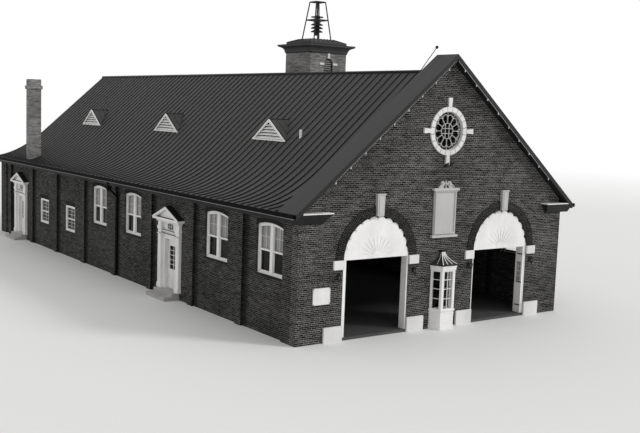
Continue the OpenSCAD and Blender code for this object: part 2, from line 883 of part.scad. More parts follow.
// Hinges on the inner face: the frame carries the pin and the outer knuckles
knuckle_r = 9;
knuckle_h = 60;
pin_r = 5;
pin_fit = 0.3;
tab_w = 50;
tab_t = 6;
hinge_x = leaf_x0 + leaf_t + knuckle_r + 1;
function hinge_y(y) = y + leaf_w / 2 + leaf_gap / 2;
hinge_zs = [for (k = [0.14, 0.52, 0.86]) door_sill_z + leaf_h * k];
module hinge_tab(y, z, side) {
    y0 = hinge_y(y);
    box_from([leaf_x0 + leaf_t, side > 0 ? y0 : y0 - tab_w, z],
        [leaf_x0 + leaf_t + tab_t, side > 0 ? y0 + tab_w : y0, z + knuckle_h]);
}
module frame_hinges(y) {
    for (z = hinge_zs) {
        for (dz = [0, 2 * knuckle_h + 2]) {
            translate([hinge_x, hinge_y(y), z + dz]) cylinder(h = knuckle_h, r = knuckle_r);
            hinge_tab(y, z + dz, 1);
        }
        translate([hinge_x, hinge_y(y), z + 10]) cylinder(h = 3 * knuckle_h - 20, r = pin_r);
    }
}
module leaf_hinges(y) {
    for (z = hinge_zs) difference() {
        union() {
            translate([hinge_x, hinge_y(y), z + knuckle_h + 1]) cylinder(h = knuckle_h, r = knuckle_r);
            hinge_tab(y, z + knuckle_h + 1, -1);
        }
        translate([hinge_x, hinge_y(y), z]) cylinder(h = 3 * knuckle_h, r = pin_r + pin_fit);
    }
}
module door_surrounds() {
    color("white") for (y = [middle_door_y, rear_door_y]) {
        surround(y);
        frame_hinges(y);
    }
}

step_l = 1700;
step_d = 700;
module door_steps() {
    color("lightgray") for (y = [middle_door_y, rear_door_y]) {
        box_from([-half_w - step_d, y - step_l / 2, 0], [-half_w, y + step_l / 2, door_sill_z / 2]);
        box_from([-half_w - step_d / 2, y - step_l / 2, door_sill_z / 2],
            [-half_w, y + step_l / 2, door_sill_z]);
        box_from([-half_w, y - doorway_w / 2, 0], [-half_w + wall_t, y + doorway_w / 2, door_sill_z]);
    }
}

// Glazed leaf of one side door, shut
stile_w = 120;
top_rail_h = 290;
lock_rail_z = door_sill_z + 840;
module glazing(y) {
    translate([y - leaf_w / 2 + stile_w, lock_rail_z])
        square([leaf_w - 2 * stile_w, leaf_h + door_sill_z - lock_rail_z - top_rail_h]);
}
module leaf(y) {
    color("white") {
        along_x(leaf_x0, leaf_x0 + leaf_t) difference() {
            translate([y - leaf_w / 2, door_sill_z + leaf_gap]) square([leaf_w, leaf_h]);
            glazing(y);
        }
        leaf_hinges(y);
    }
}
module leaf_glass(y) {
    x = leaf_x0 + leaf_t / 2;
    color("lightblue") along_x(x - glass_t / 2, x + glass_t / 2) glazing(y);
}
module middle_door_leaf() {
    leaf(middle_door_y);
}
module middle_door_glass() {
    leaf_glass(middle_door_y);
}
module rear_door_leaf() {
    leaf(rear_door_y);
}
module rear_door_glass() {
    leaf_glass(rear_door_y);
}

// White lining of an engine bay's jambs, with a crossbar and a sunburst panel of scalloped petals
lining_t = 60;
bar_h = 150;
bar_drop = 20;
petal_n = 12;
petal_at = 1275;
hub_r = 210;
fan_back = 40;
fan_t = 60;
flute_t = 14;
flute_inset = 30;
petal_angle = 180 / petal_n;
petal_r = petal_at * sin(petal_angle / 2) + 50;
// One petal with its edge set in by inset: a round end and the two lines that touch it from the hub
module petal(inset) {
    r = petal_r - inset;
    tip = inset / sin(petal_angle / 2);
    reach = petal_at - tip;
    lean = asin(r / reach);
    run = sqrt(reach * reach - r * r);
    translate([petal_at, 0]) circle(r);
    polygon([[tip, 0], [tip + run * cos(lean), run * sin(lean)], [tip + run * cos(lean), -run * sin(lean)]]);
}
module petals(inset) {
    for (i = [0 : petal_n - 1]) rotate((i + 0.5) * petal_angle) petal(inset);
}
module fan_bounds() {
    intersection() {
        circle(arch_r - fit, $fn = 96);
        translate([-arch_r, 0]) square([2 * arch_r, arch_r]);
    }
}
module bay_frame() {
    bar_half = sqrt(pow(arch_r - fit, 2) - pow(bar_h - bar_drop, 2));
    along_y(front_y + 20, front_y + wall_t) for (x = [arch_x - arch_r + fit, arch_x + arch_r - lining_t])
        translate([x, floor_h]) square([lining_t - fit, spring_z - floor_h]);
    along_y(front_y + 20, front_y + 200) translate([arch_x - bar_half, spring_z - bar_drop])
        square([2 * bar_half, bar_h]);
    translate([arch_x, 0, spring_z]) {
        along_y(front_y + fan_back, front_y + fan_back + fan_t) intersection() {
            fan_bounds();
            union() {
                petals(0);
                circle(petal_at);
            }
        }
        along_y(front_y + fan_back - flute_t, front_y + fan_back) intersection() {
            fan_bounds();
            petals(flute_inset);
        }
        along_y(front_y + fan_back - 2 * flute_t, front_y + fan_back) intersection() {
            fan_bounds();
            circle(hub_r);
        }
    }
}
module engine_bay_frames() {
    color("white") both_sides() bay_frame();
}

// Narrow glazed leaves folded back against the outer jamb of each engine bay
fold_w = 360;
fold_t = 45;
fold_pane_z = [1420, 2210];
module fold_outline(y0) {
    translate([y0, floor_h + leaf_gap]) square([fold_w, spring_z - bar_drop - floor_h - 2 * leaf_gap]);
}
fold_stile_w = 70;
module fold_pane(y0) {
    translate([y0 + fold_stile_w, fold_pane_z[0]])
        square([fold_w - 2 * fold_stile_w, fold_pane_z[1] - fold_pane_z[0]]);
}
fold_x = arch_x + arch_r - lining_t;
fold_y = front_y + 30;
module engine_doors() {
    color("white") both_sides() for (i = [0, 1])
        along_x(fold_x - (i + 1) * fold_t, fold_x - i * fold_t) difference() {
            fold_outline(fold_y);
            fold_pane(fold_y);
        }
}
module fold_glass() {
    both_sides() for (i = [0, 1]) {
        mid = fold_x - (i + 0.5) * fold_t;
        along_x(mid - glass_t / 2, mid + glass_t / 2) fold_pane(fold_y);
    }
}

// Keystone outline: narrower at its foot
module keystone_outline() {
    foot = spring_z + arch_r;
    polygon([[arch_x - keystone_w * 0.47, foot], [arch_x + keystone_w * 0.47, foot],
        [arch_x + keystone_w * 0.53, foot + keystone_h], [arch_x - keystone_w * 0.53, foot + keystone_h]]);
}

module arch_rings() {
    color("dimgray") both_sides() along_y(front_y - 30, front_y) difference() {
        intersection() {
            translate([arch_x, spring_z]) circle(arch_r + ring_w, $fn = 240);
            translate([arch_x - arch_r - ring_w, spring_z]) square([2 * (arch_r + ring_w), far / 4]);
        }
        translate([arch_x, spring_z]) circle(arch_r, $fn = 240);
        keystone_outline();
    }
}

// Stone ring of the round window: separate stones with grooves, four keys and a reveal
ring_stones = 20;
groove_w = 22;
groove_d = 26;
ring_d = 60;
module oculus_ring() {
    translate([0, front_y, oculus_z]) rotate([90, 0, 0]) {
        difference() {
            cylinder(h = ring_d, r = oculus_r, $fn = 96);
            translate([0, 0, -1]) cylinder(h = ring_d + 2, r = oculus_glass_r, $fn = 96);
            for (i = [0 : ring_stones - 1]) rotate([0, 0, (i + 0.5) * 360 / ring_stones])
                translate([oculus_glass_r - 10, -groove_w / 2, ring_d - groove_d])
                cube([oculus_r - oculus_glass_r + 20, groove_w, groove_d + 1]);
        }
        translate([0, 0, -200]) difference() {
            cylinder(h = 200, r = oculus_glass_r + frame_w / 2 - fit, $fn = 96);
            translate([0, 0, -1]) cylinder(h = 202, r = oculus_glass_r, $fn = 96);
        }
        for (a = [0 : 90 : 270]) rotate([0, 0, a]) linear_extrude(height = trim_d)
            polygon([[oculus_r - 10, -oculus_key_w * 0.42], [oculus_r + oculus_key_l, -oculus_key_w * 0.58],
                [oculus_r + oculus_key_l, oculus_key_w * 0.58], [oculus_r - 10, oculus_key_w * 0.42]]);
    }
}

module stone_trim() {
    color("whitesmoke") {
        both_sides() {
            along_y(front_y - keystone_d, front_y) keystone_outline();
            for (s = [-1, 1]) {
                inner = arch_x + s * arch_r;
                low_x = s < 0 ? inner - impost_w : inner;
                low_b = s < 0 ? inner - base_w : inner;
                box_from([low_x, front_y - trim_d, spring_z - impost_h],
                    [low_x + impost_w, front_y, spring_z]);
                box_from([low_b, front_y - trim_d, 0], [low_b + base_w, front_y, base_h]);
            }
        }
        oculus_ring();
        tower_stones();
    }
}

// Round window tracery: a hub square, two rings joined by bars and a row of arcs between the bars
spoke_n = 12;
inner_ring_r = 285;
arc_ring_r = 500;
tracery_bar = 22;
pane_y = front_y + 80;
module flat_ring(r) {
    difference() {
        circle(r + tracery_bar / 2, $fn = 72);
        circle(r - tracery_bar / 2, $fn = 72);
    }
}
module tracery_spoke(a, r0, r1) {
    rotate(a) translate([r0, -tracery_bar / 2]) square([r1 - r0, tracery_bar]);
}
module oculus_tracery() {
    rim = oculus_glass_r - tracery_bar / 2 - fit;
    step = 360 / spoke_n;
    arc_r = arc_ring_r * sin(step / 2);
    color("white") along_y(pane_y - 40, pane_y) translate([0, oculus_z]) {
        flat_ring(inner_ring_r);
        flat_ring(rim);
        for (i = [0 : spoke_n - 1]) {
            tracery_spoke(i * step, inner_ring_r, rim);
            rotate((i + 0.5) * step) translate([arc_ring_r * cos(step / 2), 0]) intersection() {
                difference() {
                    circle(arc_r + tracery_bar / 2);
                    circle(arc_r - tracery_bar / 2);
                }
                translate([0, -arc_r - tracery_bar]) square([arc_r + tracery_bar, 2 * (arc_r + tracery_bar)]);
            }
        }
        for (a = [0 : 90 : 270]) rotate(a) {
            translate([-inner_ring_r * 0.94, inner_ring_r * 0.33 - tracery_bar / 2])
                square([inner_ring_r * 1.88, tracery_bar]);
        }
    }
}
module oculus_pane() {
    along_y(pane_y, pane_y + glass_t) translate([0, oculus_z])
        circle(oculus_glass_r - fit, $fn = 96);
}

// Plan of the canted bay, grown by g on all outer sides; a cut runs past its back
module cant_plan(g, past = 0) {
    polygon([[-cant_w / 2 - g, 0], [-cant_front_w / 2 - g / 2, -cant_d - g],
        [cant_front_w / 2 + g / 2, -cant_d - g], [cant_w / 2 + g, 0]]);
    if (past > 0) translate([-cant_w / 2 - g, -1]) square([cant_w + 2 * g, past + 1]);
}
post_w = 70;
pane_h = cant_head_z - cant_sill_z;
module cant_bay_frame() {
    color("white") translate([0, front_y, 0]) difference() {
        union() {
            linear_extrude(height = cant_head_z + 100) cant_plan(0);
            translate([0, 0, cant_sill_z - 90]) linear_extrude(height = 60) cant_plan(40);
            translate([0, 0, cant_head_z + 60])
                linear_extrude(height = cant_eave_z - cant_head_z - 60) cant_plan(30);
        }
        translate([0, 0, cant_sill_z - 20])
            linear_extrude(height = pane_h + 50) cant_plan(-post_w, 20);
        translate([-cant_pane_w / 2, -cant_d - 50, cant_sill_z]) cube([cant_pane_w, 200, pane_h]);
        for (s = [-1, 1]) translate([s * (cant_w + cant_front_w) / 4, -cant_d / 2, cant_sill_z])
            rotate([0, 0, s * atan2(cant_d, (cant_w - cant_front_w) / 2)])
            translate([-cant_side_pane_w / 2, -100, 0]) cube([cant_side_pane_w, 200, pane_h]);
    }
}
module cant_panes() {
    translate([0, front_y, cant_sill_z]) difference() {
        linear_extrude(height = pane_h) cant_plan(-post_w);
        translate([0, 0, -1]) linear_extrude(height = pane_h + 2) cant_plan(-post_w - glass_t);
        translate([-far / 2, -2 * fit, -1]) cube([far, far, far / 4]);
    }
}
module front_glass() {
    color("lightblue") {
        oculus_pane();
        cant_panes();
        fold_glass();
    }
}

// Bell-shaped roof of the canted bay: plan outlines that shrink along a hollow curve
bell_steps = 8;
bell_out = 70;
bell_edge_h = 40;
bell_cap_w = 300;
bell_cap_h = 70;
bell_h = cant_roof_z - bell_cap_h - cant_eave_z - bell_edge_h;
function bell_share(t) = pow(1 - t, 1.9) * 0.82 + 0.18;
function bell_ring(t) =
    let (k = bell_share(t), g = bell_out, z = cant_eave_z + bell_edge_h + t * bell_h)
    [[-(cant_w / 2 + g) * k, 0, z], [-(cant_front_w / 2 + g / 2) * k, -(cant_d + g) * k, z],
        [(cant_front_w / 2 + g / 2) * k, -(cant_d + g) * k, z], [(cant_w / 2 + g) * k, 0, z]];
module cant_bay_roof() {
    rings = [for (i = [0 : bell_steps]) bell_ring(i / bell_steps)];
    points = [for (r = rings) each r];
    sides = [for (i = [0 : bell_steps - 1], j = [0 : 3])
        [4 * i + j, 4 * i + 4 + j, 4 * i + 4 + (j + 1) % 4, 4 * i + (j + 1) % 4]];
    last = 4 * bell_steps;
    color("darkslategray") translate([0, front_y, 0]) {
        polyhedron(points, concat([[0, 1, 2, 3]], sides, [[last + 3, last + 2, last + 1, last]]));
        translate([0, 0, cant_eave_z]) linear_extrude(height = bell_edge_h) cant_plan(bell_out);
        hull() {
            translate([-bell_cap_w * 0.4, -bell_cap_w * 0.4, cant_roof_z - bell_cap_h - fit])
                cube([bell_cap_w * 0.8, bell_cap_w * 0.4, 1]);
            translate([-bell_cap_w / 2, -bell_cap_w / 2, cant_roof_z - 20])
                cube([bell_cap_w, bell_cap_w / 2, 20]);
        }
    }
}

// Bare tablet: framed panel, sill, cornice and a broken top with two scrolls and an urn
tablet_w = 1120;
tablet_z0 = 3550;
tablet_z1 = 5250;
tablet_d = 60;
tablet_frame_w = 50;
tablet_edge = 80;
scroll_r = 95;
scroll_x = 170;
scroll_z = tablet_z1 + 260;
urn_h = 300;
module scroll_half() {
    difference() {
        translate([0, tablet_z1]) square([tablet_w / 2, scroll_z - tablet_z1]);
        translate([tablet_w / 2 + 40, tablet_z1 + 470]) circle(440, $fn = 72);
        translate([-1, tablet_z1 + 60]) square([scroll_x + 1, 400]);
    }
    translate([scroll_x, scroll_z - scroll_r * 0.4]) circle(scroll_r);
}
module tablet() {
    frame_x = tablet_w / 2 - tablet_edge / 2;
    panel_w = tablet_w - tablet_edge - 2 * tablet_frame_w;
    color("whitesmoke") {
        along_y(front_y - tablet_d, front_y) {
            translate([-tablet_w / 2, tablet_z0]) square([tablet_w, tablet_z1 - tablet_z0]);
            for (s = [-1, 1]) scale([s, 1]) scroll_half();
        }
        along_y(front_y - tablet_d - 40, front_y - tablet_d) difference() {
            translate([-frame_x, tablet_z0 + tablet_edge / 2])
                square([2 * frame_x, tablet_z1 - tablet_z0 - tablet_edge]);
            translate([-panel_w / 2, tablet_z0 + tablet_edge / 2 + tablet_frame_w])
                square([panel_w, tablet_z1 - tablet_z0 - tablet_edge - 2 * tablet_frame_w]);
        }
        box_from([-tablet_w / 2 - tablet_edge, front_y - tablet_d - 70, tablet_z1 - 30],
            [tablet_w / 2 + tablet_edge, front_y, tablet_z1 + 60]);
        box_from([-tablet_w / 2 - tablet_edge, front_y - tablet_d - 70, tablet_z0 - 90],
            [tablet_w / 2 + tablet_edge, front_y, tablet_z0]);
        for (s = [-1, 1]) translate([s * scroll_x, front_y, scroll_z - scroll_r * 0.4])
            rotate([90, 0, 0]) cylinder(h = tablet_d + 50, r = scroll_r * 0.5);
        translate([0, front_y - tablet_d / 2, tablet_z1 + 50]) intersection() {
            rotate_extrude() polygon([[0, 0], [55, 0], [55, 30], [22, 60], [22, 85], [75, 150],
                [75, 190], [30, 225], [30, 240], [12, urn_h], [0, urn_h]]);
            translate([-tablet_w / 2, -far / 10, 0]) cube([tablet_w, far / 10 + tablet_d / 2, urn_h]);
        }
    }
}

board_w = 720;
board_z = [1380, 1960];
board_t = 40;
module notice_board() {
    x0 = -half_w + 570;
    color("white") box_from([x0, front_y - board_t, board_z[0]], [x0 + board_w, front_y, board_z[1]]);
}

lantern_out = 140;
lantern_drop = 330;
module lanterns() {
    both_sides() for (s = [-1, 1])
        translate([arch_x + s * (arch_r + impost_w / 2), front_y, spring_z - impost_h - lantern_drop]) {
            box_from([-60, -20, 0], [60, 0, 200]);
            box_from([-15, -lantern_out, 140], [15, -20, 170]);
            translate([0, -lantern_out, -60]) {
                cylinder(h = 200, d1 = 90, d2 = 150);
                translate([0, 0, 200]) cylinder(h = 70, d1 = 180, d2 = 30);
                translate([0, 0, -25]) cylinder(h = 26, d1 = 30, d2 = 70);
            }
        }
}

// Lamp over the tablet: a wall plate at its right, an arm that rises and turns, and a wide shade
lamp_x = 250;
lamp_z = tablet_z1 + 930;
shade_x = -240;
shade_out = 300;
shade_h = 150;
shade_d = 330;
arm_d = 36;
module sign_lamp() {
    bend = [lamp_x - 130, -shade_out, lamp_z + 130];
    hook = [shade_x, -shade_out, lamp_z + 60];
    translate([0, front_y, 0]) {
        translate([lamp_x, 0, lamp_z]) rotate([90, 0, 0]) cylinder(h = 30, d = 140);
        bar([lamp_x, -20, lamp_z], bend, arm_d);
        bar(bend, hook, arm_d);
        for (p = [bend, hook]) translate(p) sphere(d = arm_d + 8, $fn = 24);
        translate([shade_x, -shade_out, lamp_z + 70 - shade_h]) cylinder(h = shade_h, d1 = shade_d, d2 = 80);
    }
}
module wall_lamps() {
    color("black") {
        lanterns();
        sign_lamp();
    }
}

floor_slab();
front_wall();
left_wall_front();
left_wall_over_middle_door();
left_wall_middle();
left_wall_over_rear_door();
left_wall_rear();
right_wall();
rear_wall();
main_roof();
front_roof_strip();
eave_cornices();
gable_returns();
gutters();
downspouts();
ridge_rod();
vent_gablets();
vent_louvres();
vent_pipe();
tower_walls();
tower_cornice();
tower_louvres();
siren_frame();
siren();
chimney();
window_frames();
window_sills();
window_glass();
door_surrounds();
door_steps();
middle_door_leaf();
middle_door_glass();
rear_door_leaf();
rear_door_glass();
engine_bay_frames();
engine_doors();
arch_rings();
stone_trim();
oculus_tracery();
front_glass();
cant_bay_frame();
cant_bay_roof();
tablet();
notice_board();
wall_lamps();
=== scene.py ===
"""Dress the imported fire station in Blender: finishes, small pieces, floor, light and camera."""

import math

import bpy
from mathutils import Matrix, Vector


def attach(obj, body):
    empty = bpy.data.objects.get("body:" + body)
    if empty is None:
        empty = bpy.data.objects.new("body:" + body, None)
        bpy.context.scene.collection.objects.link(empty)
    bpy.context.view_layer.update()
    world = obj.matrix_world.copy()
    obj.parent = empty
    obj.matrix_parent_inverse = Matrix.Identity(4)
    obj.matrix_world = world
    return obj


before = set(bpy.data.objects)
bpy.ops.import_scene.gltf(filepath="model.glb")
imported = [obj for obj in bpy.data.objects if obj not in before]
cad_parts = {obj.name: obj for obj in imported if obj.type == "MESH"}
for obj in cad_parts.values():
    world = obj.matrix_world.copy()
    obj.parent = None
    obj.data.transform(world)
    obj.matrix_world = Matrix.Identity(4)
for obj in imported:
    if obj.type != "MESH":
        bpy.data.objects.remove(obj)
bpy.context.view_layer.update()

# Sizes of the building, in metres, as in the part
HALF_W = 6.5
FRONT_Y = -16.0
REAR_Y = 16.0
BAY_L = 3.8
PILASTER_W = 0.42
EAVE_X = 6.95
RIDGE_Z = 9.63
UPPER_SLOPE = 0.9
FLARE_X = 3.9
EAVE_SLOPE = 0.12
CORNICE_H = 0.365
STRIP_BACK_Y = FRONT_Y + 0.8
STRIP_FRONT_Y = FRONT_Y - 0.35
STRIP_RIDGE_Z = 10.25
ROOF_REAR_Y = REAR_Y + 0.35
GUTTER_H = 0.13
GUTTER_X = EAVE_X + GUTTER_H
ARCH_X = 3.15
ARCH_R = 1.5
SPRING_Z = 2.87
RING_W = 0.35
PAIR = {"width": 1.75, "sill": 2.14, "head": 4.03, "mullion": 0.18, "rise": 0.12, "front": 0.08, "rows": 2}
SINGLE = {"width": 1.3, "sill": 1.32, "head": 2.66, "mullion": 0.0, "rise": 0.02, "front": 0.02, "rows": 3}
FRAME_W = 0.09
FRAME_D = 0.08
GLASS_T = 0.008
LEFT_PAIRS = (1, 2, 4, 5)
LEFT_SINGLES = (6, 7)
RIGHT_PAIRS = range(1, 9)
REAR_WINDOW_X = 3.2
DOORS = {"middle_door": FRONT_Y + 2.5 * BAY_L, "rear_door": FRONT_Y + 7.5 * BAY_L}
DOOR_SILL_Z = 0.3
LEAF_W = 0.96
LEAF_H = 2.12
LEAF_T = 0.045
LEAF_X = -HALF_W + 0.14
STILE_W = 0.12
TOP_RAIL_H = 0.29
LOCK_Z = DOOR_SILL_Z + 0.84
SURROUND_W = 1.92
SURROUND_X = -HALF_W - 0.13
DOOR_POST_W = 0.3
PANEL_X = -HALF_W - 0.02
OVAL_HALVES = (0.28, 0.145)
OVAL_Z = 2.97
HOOD_X = -HALF_W - 0.29
HOOD_Z = 3.23
HOOD_PEAK_Z = 3.83
HOOD_W = SURROUND_W + 0.44
HOOD_EDGE_H = 0.11
CANT_W = 1.02
CANT_FRONT_W = 0.66
CANT_D = 0.44
CANT_PANE_W = 0.43
CANT_SIDE_PANE_W = 0.3
CANT_SILL_Z = 0.8
CANT_HEAD_Z = 2.2
CANT_EAVE_Z = 2.43
CANT_ROOF_Z = 2.98
CANT_POST_W = 0.07
TOWER_HALF = 1.05
TOWER_X = 1.43 + TOWER_HALF
TOWER_Y = FRONT_Y + 11.1 + TOWER_HALF
TOWER_TOP_Z = 10.78
LIP_Z = TOWER_TOP_Z + 0.35
TOWER_OUT = TOWER_HALF + 0.31
TIER_H = 0.14
DECK_Z = LIP_Z + 0.29
DECK_HALF = 0.62
VENT_X = 3.25
VENT_H = 0.89
VENT_HALF = 1.3
VENT_YS = [FRONT_Y + 7.25 + 9.45 * number for number in range(3)]
OCULUS_Z = 7.43
TABLET_HALF = 0.56
TABLET_FOOT_Z = 3.55
TABLET_HEAD_Z = 5.25
CHIMNEY_XS = (-6.5, -5.9)
CHIMNEY_YS = (11.0, 11.75)
CHIMNEY_Z = 9.15

# Real bricks and roof sheets, in metres
BRICK_L = 0.215
COURSE_H = 0.068
JOINT = 0.01
SEAM_PITCH = 0.457
FIRST_SEAM_Y = STRIP_BACK_Y + 0.12


def bay_y(number):
    """Middle of a side wall's bay."""
    return FRONT_Y + (number - 0.5) * BAY_L


def roof_z(x):
    """Height of the main roof at a distance from the ridge."""
    if x <= FLARE_X:
        return RIDGE_Z - UPPER_SLOPE * x
    run = EAVE_X - FLARE_X
    share = (x - FLARE_X) / run
    drop = run * (UPPER_SLOPE * share - (UPPER_SLOPE - EAVE_SLOPE) * share * share / 2)
    return RIDGE_Z - UPPER_SLOPE * FLARE_X - drop


EAVE_Z = roof_z(EAVE_X)
CORNICE_Z = EAVE_Z - CORNICE_H


def strip_z(x):
    """Height of the raised front strip at a distance from the ridge."""
    return STRIP_RIDGE_Z + (EAVE_Z - STRIP_RIDGE_Z) * x / EAVE_X


# Sockets of the Mix node: two colours and their result, then two numbers
COLOUR_A, COLOUR_B, MIXED = 6, 7, 2
NUMBER_A, NUMBER_B = 2, 3
# Nearly all of a noise lies between these
NOISE_LOW, NOISE_HIGH = 0.3, 0.7


class Finish:
    """One material's node graph."""

    def __init__(self, name, roughness, gloss=0.5):
        self.material = bpy.data.materials.new(name)
        self.material.use_nodes = True
        self.nodes, self.links = self.material.node_tree.nodes, self.material.node_tree.links
        self.shader = self.nodes["Principled BSDF"]
        self.shader.inputs["Roughness"].default_value = roughness
        self.shader.inputs["Specular IOR Level"].default_value = gloss
        self.place = self.add("TexCoord").outputs["Object"]

    def add(self, kind, settings=None, **sockets):
        """A new node with its settings and sockets."""
        node = self.nodes.new("ShaderNode" + kind)
        for key, value in (settings or {}).items():
            setattr(node, key, value)
        for key, value in sockets.items():
            self.feed(node.inputs[key.replace("_", " ")], value)
        return node

    def feed(self, socket, value):
        """Link a socket, or set it where the value is plain."""
        if isinstance(value, bpy.types.NodeSocket):
            self.links.new(value, socket)
        else:
            socket.default_value = value

    def math(self, operation, first, second=0.0):
        """Result of a sum with one or two numbers."""
        node = self.add("Math", {"operation": operation})
        self.feed(node.inputs[0], first)
        self.feed(node.inputs[1], second)
        return node.outputs[0]

    def axes(self):
        """The three object coordinates, one by one."""
        return self.add("SeparateXYZ", Vector=self.place).outputs

    def facing(self):
        """The three parts of the surface's direction."""
        normal = self.add("NewGeometry").outputs["Normal"]
        return self.add("SeparateXYZ", Vector=normal).outputs

    def length(self, vector):
        """Length of a vector."""
        return self.add("VectorMath", {"operation": "LENGTH"}, Vector=vector).outputs["Value"]

    def noise(self, scale, detail=3.0, stretch=(1.0, 1.0, 1.0)):
        """Noise between 0 and 1 at a scale in repeats for each metre."""
        spread = self.add("Mapping", Vector=self.place, Scale=stretch)
        return self.add("TexNoise", Vector=spread.outputs[0], Scale=scale, Detail=detail).outputs[0]

    def mix(self, share, first, second, blend="MIX"):
        """A colour between two others, or another blend of them."""
        mixed = self.add("Mix", {"data_type": "RGBA", "blend_type": blend}, Factor=share)
        self.feed(mixed.inputs[COLOUR_A], first)
        self.feed(mixed.inputs[COLOUR_B], second)
        return mixed.outputs[MIXED]

    def shade(self, colour, share, low, high):
        """The colour times a grey that runs from low to high with share."""
        ends = {"From_Min": NOISE_LOW, "From_Max": NOISE_HIGH, "To_Min": low, "To_Max": high}
        return self.mix(1.0, colour, self.add("MapRange", Value=share, **ends).outputs[0], "MULTIPLY")

    def stained(self, colour):
        """The colour with broad, faint stains."""
        return self.shade(colour, self.noise(1.1, 3.0, (1.0, 1.0, 0.5)), 0.88, 1.08)

    def colour(self, value):
        """Set the shader's base colour."""
        self.feed(self.shader.inputs["Base Color"], value)

    def bump(self, height, distance, strength=0.5, before=None):
        """Relief of a depth in metres, on top of any given before."""
        node = self.add("Bump", Height=height, Distance=distance, Strength=strength)
        if before is not None:
            self.feed(node.inputs["Normal"], before)
        self.feed(self.shader.inputs["Normal"], node.outputs[0])
        return node.outputs[0]


def grey(level, warmth=0.0):
    """A grey as a linear colour, a little warmer or cooler."""
    return (level * (1 + warmth), level, level * (1 - warmth), 1.0)


BRICK_ROUGH = 0.9
BRICK_GLOSS = 0.12
GRAIN_DEPTH = 0.004
JOINT_DEPTH = 0.006
# Width and darkest tone of the painted shade beside the side walls' pilasters
PAINTED_SHADE_W = 0.62
PAINTED_SHADE_TONE = 0.35


def weathered_brick(finish, along, up, tones, painted_shade=None):
    """Bricks with stains, optional painted shade, a rough face and sunk joints."""
    dark, light, joint = tones
    pattern = finish.add(
        "TexBrick",
        {"offset": 0.5, "squash": 0.5, "squash_frequency": 6},
        Vector=finish.add("CombineXYZ", X=along, Y=up).outputs[0], Scale=1.0, Bias=0.0,
        Brick_Width=BRICK_L, Row_Height=COURSE_H, Mortar_Size=JOINT / 2, Mortar_Smooth=0.3,
        Color1=dark, Color2=light, Mortar=joint,
    )
    colour = pattern.outputs["Color"]
    # Painted shade: bricks darker just in front of each pilaster
    if painted_shade is not None:
        colour = finish.shade(colour, painted_shade, 1.0, PAINTED_SHADE_TONE)
    stains = finish.noise(0.45, 4.0)
    streaks = finish.noise(4.0, 3.0, (0.6, 0.6, 4.0))
    colour = finish.shade(colour, stains, 0.78, 1.2)
    finish.colour(finish.shade(colour, streaks, 0.55, 1.5))
    grain = finish.bump(finish.noise(55.0, 4.0), GRAIN_DEPTH)
    face = finish.math("SUBTRACT", 1.0, pattern.outputs["Fac"])
    finish.bump(face, JOINT_DEPTH, 0.8, grain)
    return finish.material


def painted_pilaster_shade(finish, y):
    """Share of painted shade in front of each pilaster, fading along the wall."""
    slack = -0.001
    run = finish.math("DIVIDE", finish.math("SUBTRACT", y, FRONT_Y), BAY_L)
    edge = 1 - PILASTER_W / 2 / BAY_L
    gap = finish.math("MULTIPLY", finish.math("SUBTRACT", edge, finish.math("FRACT", run)), BAY_L)
    fade = finish.math("SUBTRACT", 1.0, finish.math("DIVIDE", gap, PAINTED_SHADE_W))
    return finish.math("MULTIPLY", fade, finish.math("GREATER_THAN", gap, slack))


def wall_brick(name, *tones, with_painted_shade=False):
    """Level courses on walls that face along X or Y."""
    finish = Finish(name, BRICK_ROUGH, BRICK_GLOSS)
    x, y, z = finish.axes()
    on_side = finish.math("GREATER_THAN", finish.math("ABSOLUTE", finish.facing()[0]), 0.7)
    along = finish.add("Mix", {"data_type": "FLOAT"}, Factor=on_side)
    finish.feed(along.inputs[NUMBER_A], x)
    finish.feed(along.inputs[NUMBER_B], y)
    painted_shade = painted_pilaster_shade(finish, y) if with_painted_shade else None
    return weathered_brick(finish, along.outputs[0], z, tones, painted_shade)


def ring_brick(name, *tones):
    """Bricks on end round the engine bay arches."""
    finish = Finish(name, BRICK_ROUGH, BRICK_GLOSS)
    x, _, z = finish.axes()
    across = finish.math("SUBTRACT", finish.math("ABSOLUTE", x), ARCH_X)
    up = finish.math("SUBTRACT", z, SPRING_Z)
    run = finish.math("MULTIPLY", finish.math("ARCTAN2", up, across), ARCH_R + RING_W / 2)
    reach = finish.length(finish.add("CombineXYZ", X=across, Y=up).outputs[0])
    return weathered_brick(finish, reach, run, tones)


def roof_metal(name, level):
    """Painted sheets in several tones, streaked down the slope, and darker on faces that look down or
    sideways: painted shade, partly the fascia's own dark paint.
    """
    finish = Finish(name, 0.55, 0.3)
    y = finish.axes()[1]
    run = finish.math("DIVIDE", finish.math("SUBTRACT", y, FIRST_SEAM_Y), SEAM_PITCH)
    sheet = finish.math("FLOOR", run)
    tone = finish.add("TexWhiteNoise", {"noise_dimensions": "1D"}, W=sheet).outputs[0]
    colour = finish.mix(tone, grey(level * 0.9, 0.02), grey(level * 1.1, 0.02))
    colour = finish.shade(colour, finish.noise(1.2, 4.0, (0.5, 5.0, 0.5)), 0.82, 1.15)
    colour = finish.shade(colour, finish.noise(14.0), 0.9, 1.1)
    # Faces that look down or sideways turn dark grey: painted shade, partly the fascia's own dark paint
    under = finish.math("LESS_THAN", finish.facing()[2], 0.2)
    finish.colour(finish.mix(under, colour, grey(level * 0.4)))
    finish.bump(finish.noise(1.6, 2.0, (0.6, 2.0, 0.6)), 0.006, 0.4)
    return finish.material


def speckled(name, low, high, warmth, roughness, scale, relief, gloss=0.5):
    """A tone that wanders between two greys, with fine relief."""
    finish = Finish(name, roughness, gloss)
    colour = finish.mix(finish.noise(scale, 5.0), grey(low, warmth), grey(high, warmth))
    finish.colour(finish.stained(colour))
    finish.bump(finish.noise(scale * 4.0, 4.0), relief)
    return finish.material


KEYS_ZS = (SPRING_Z + ARCH_R - 0.05, SPRING_Z + ARCH_R + 0.85)
KEYS_DARKER = 0.35


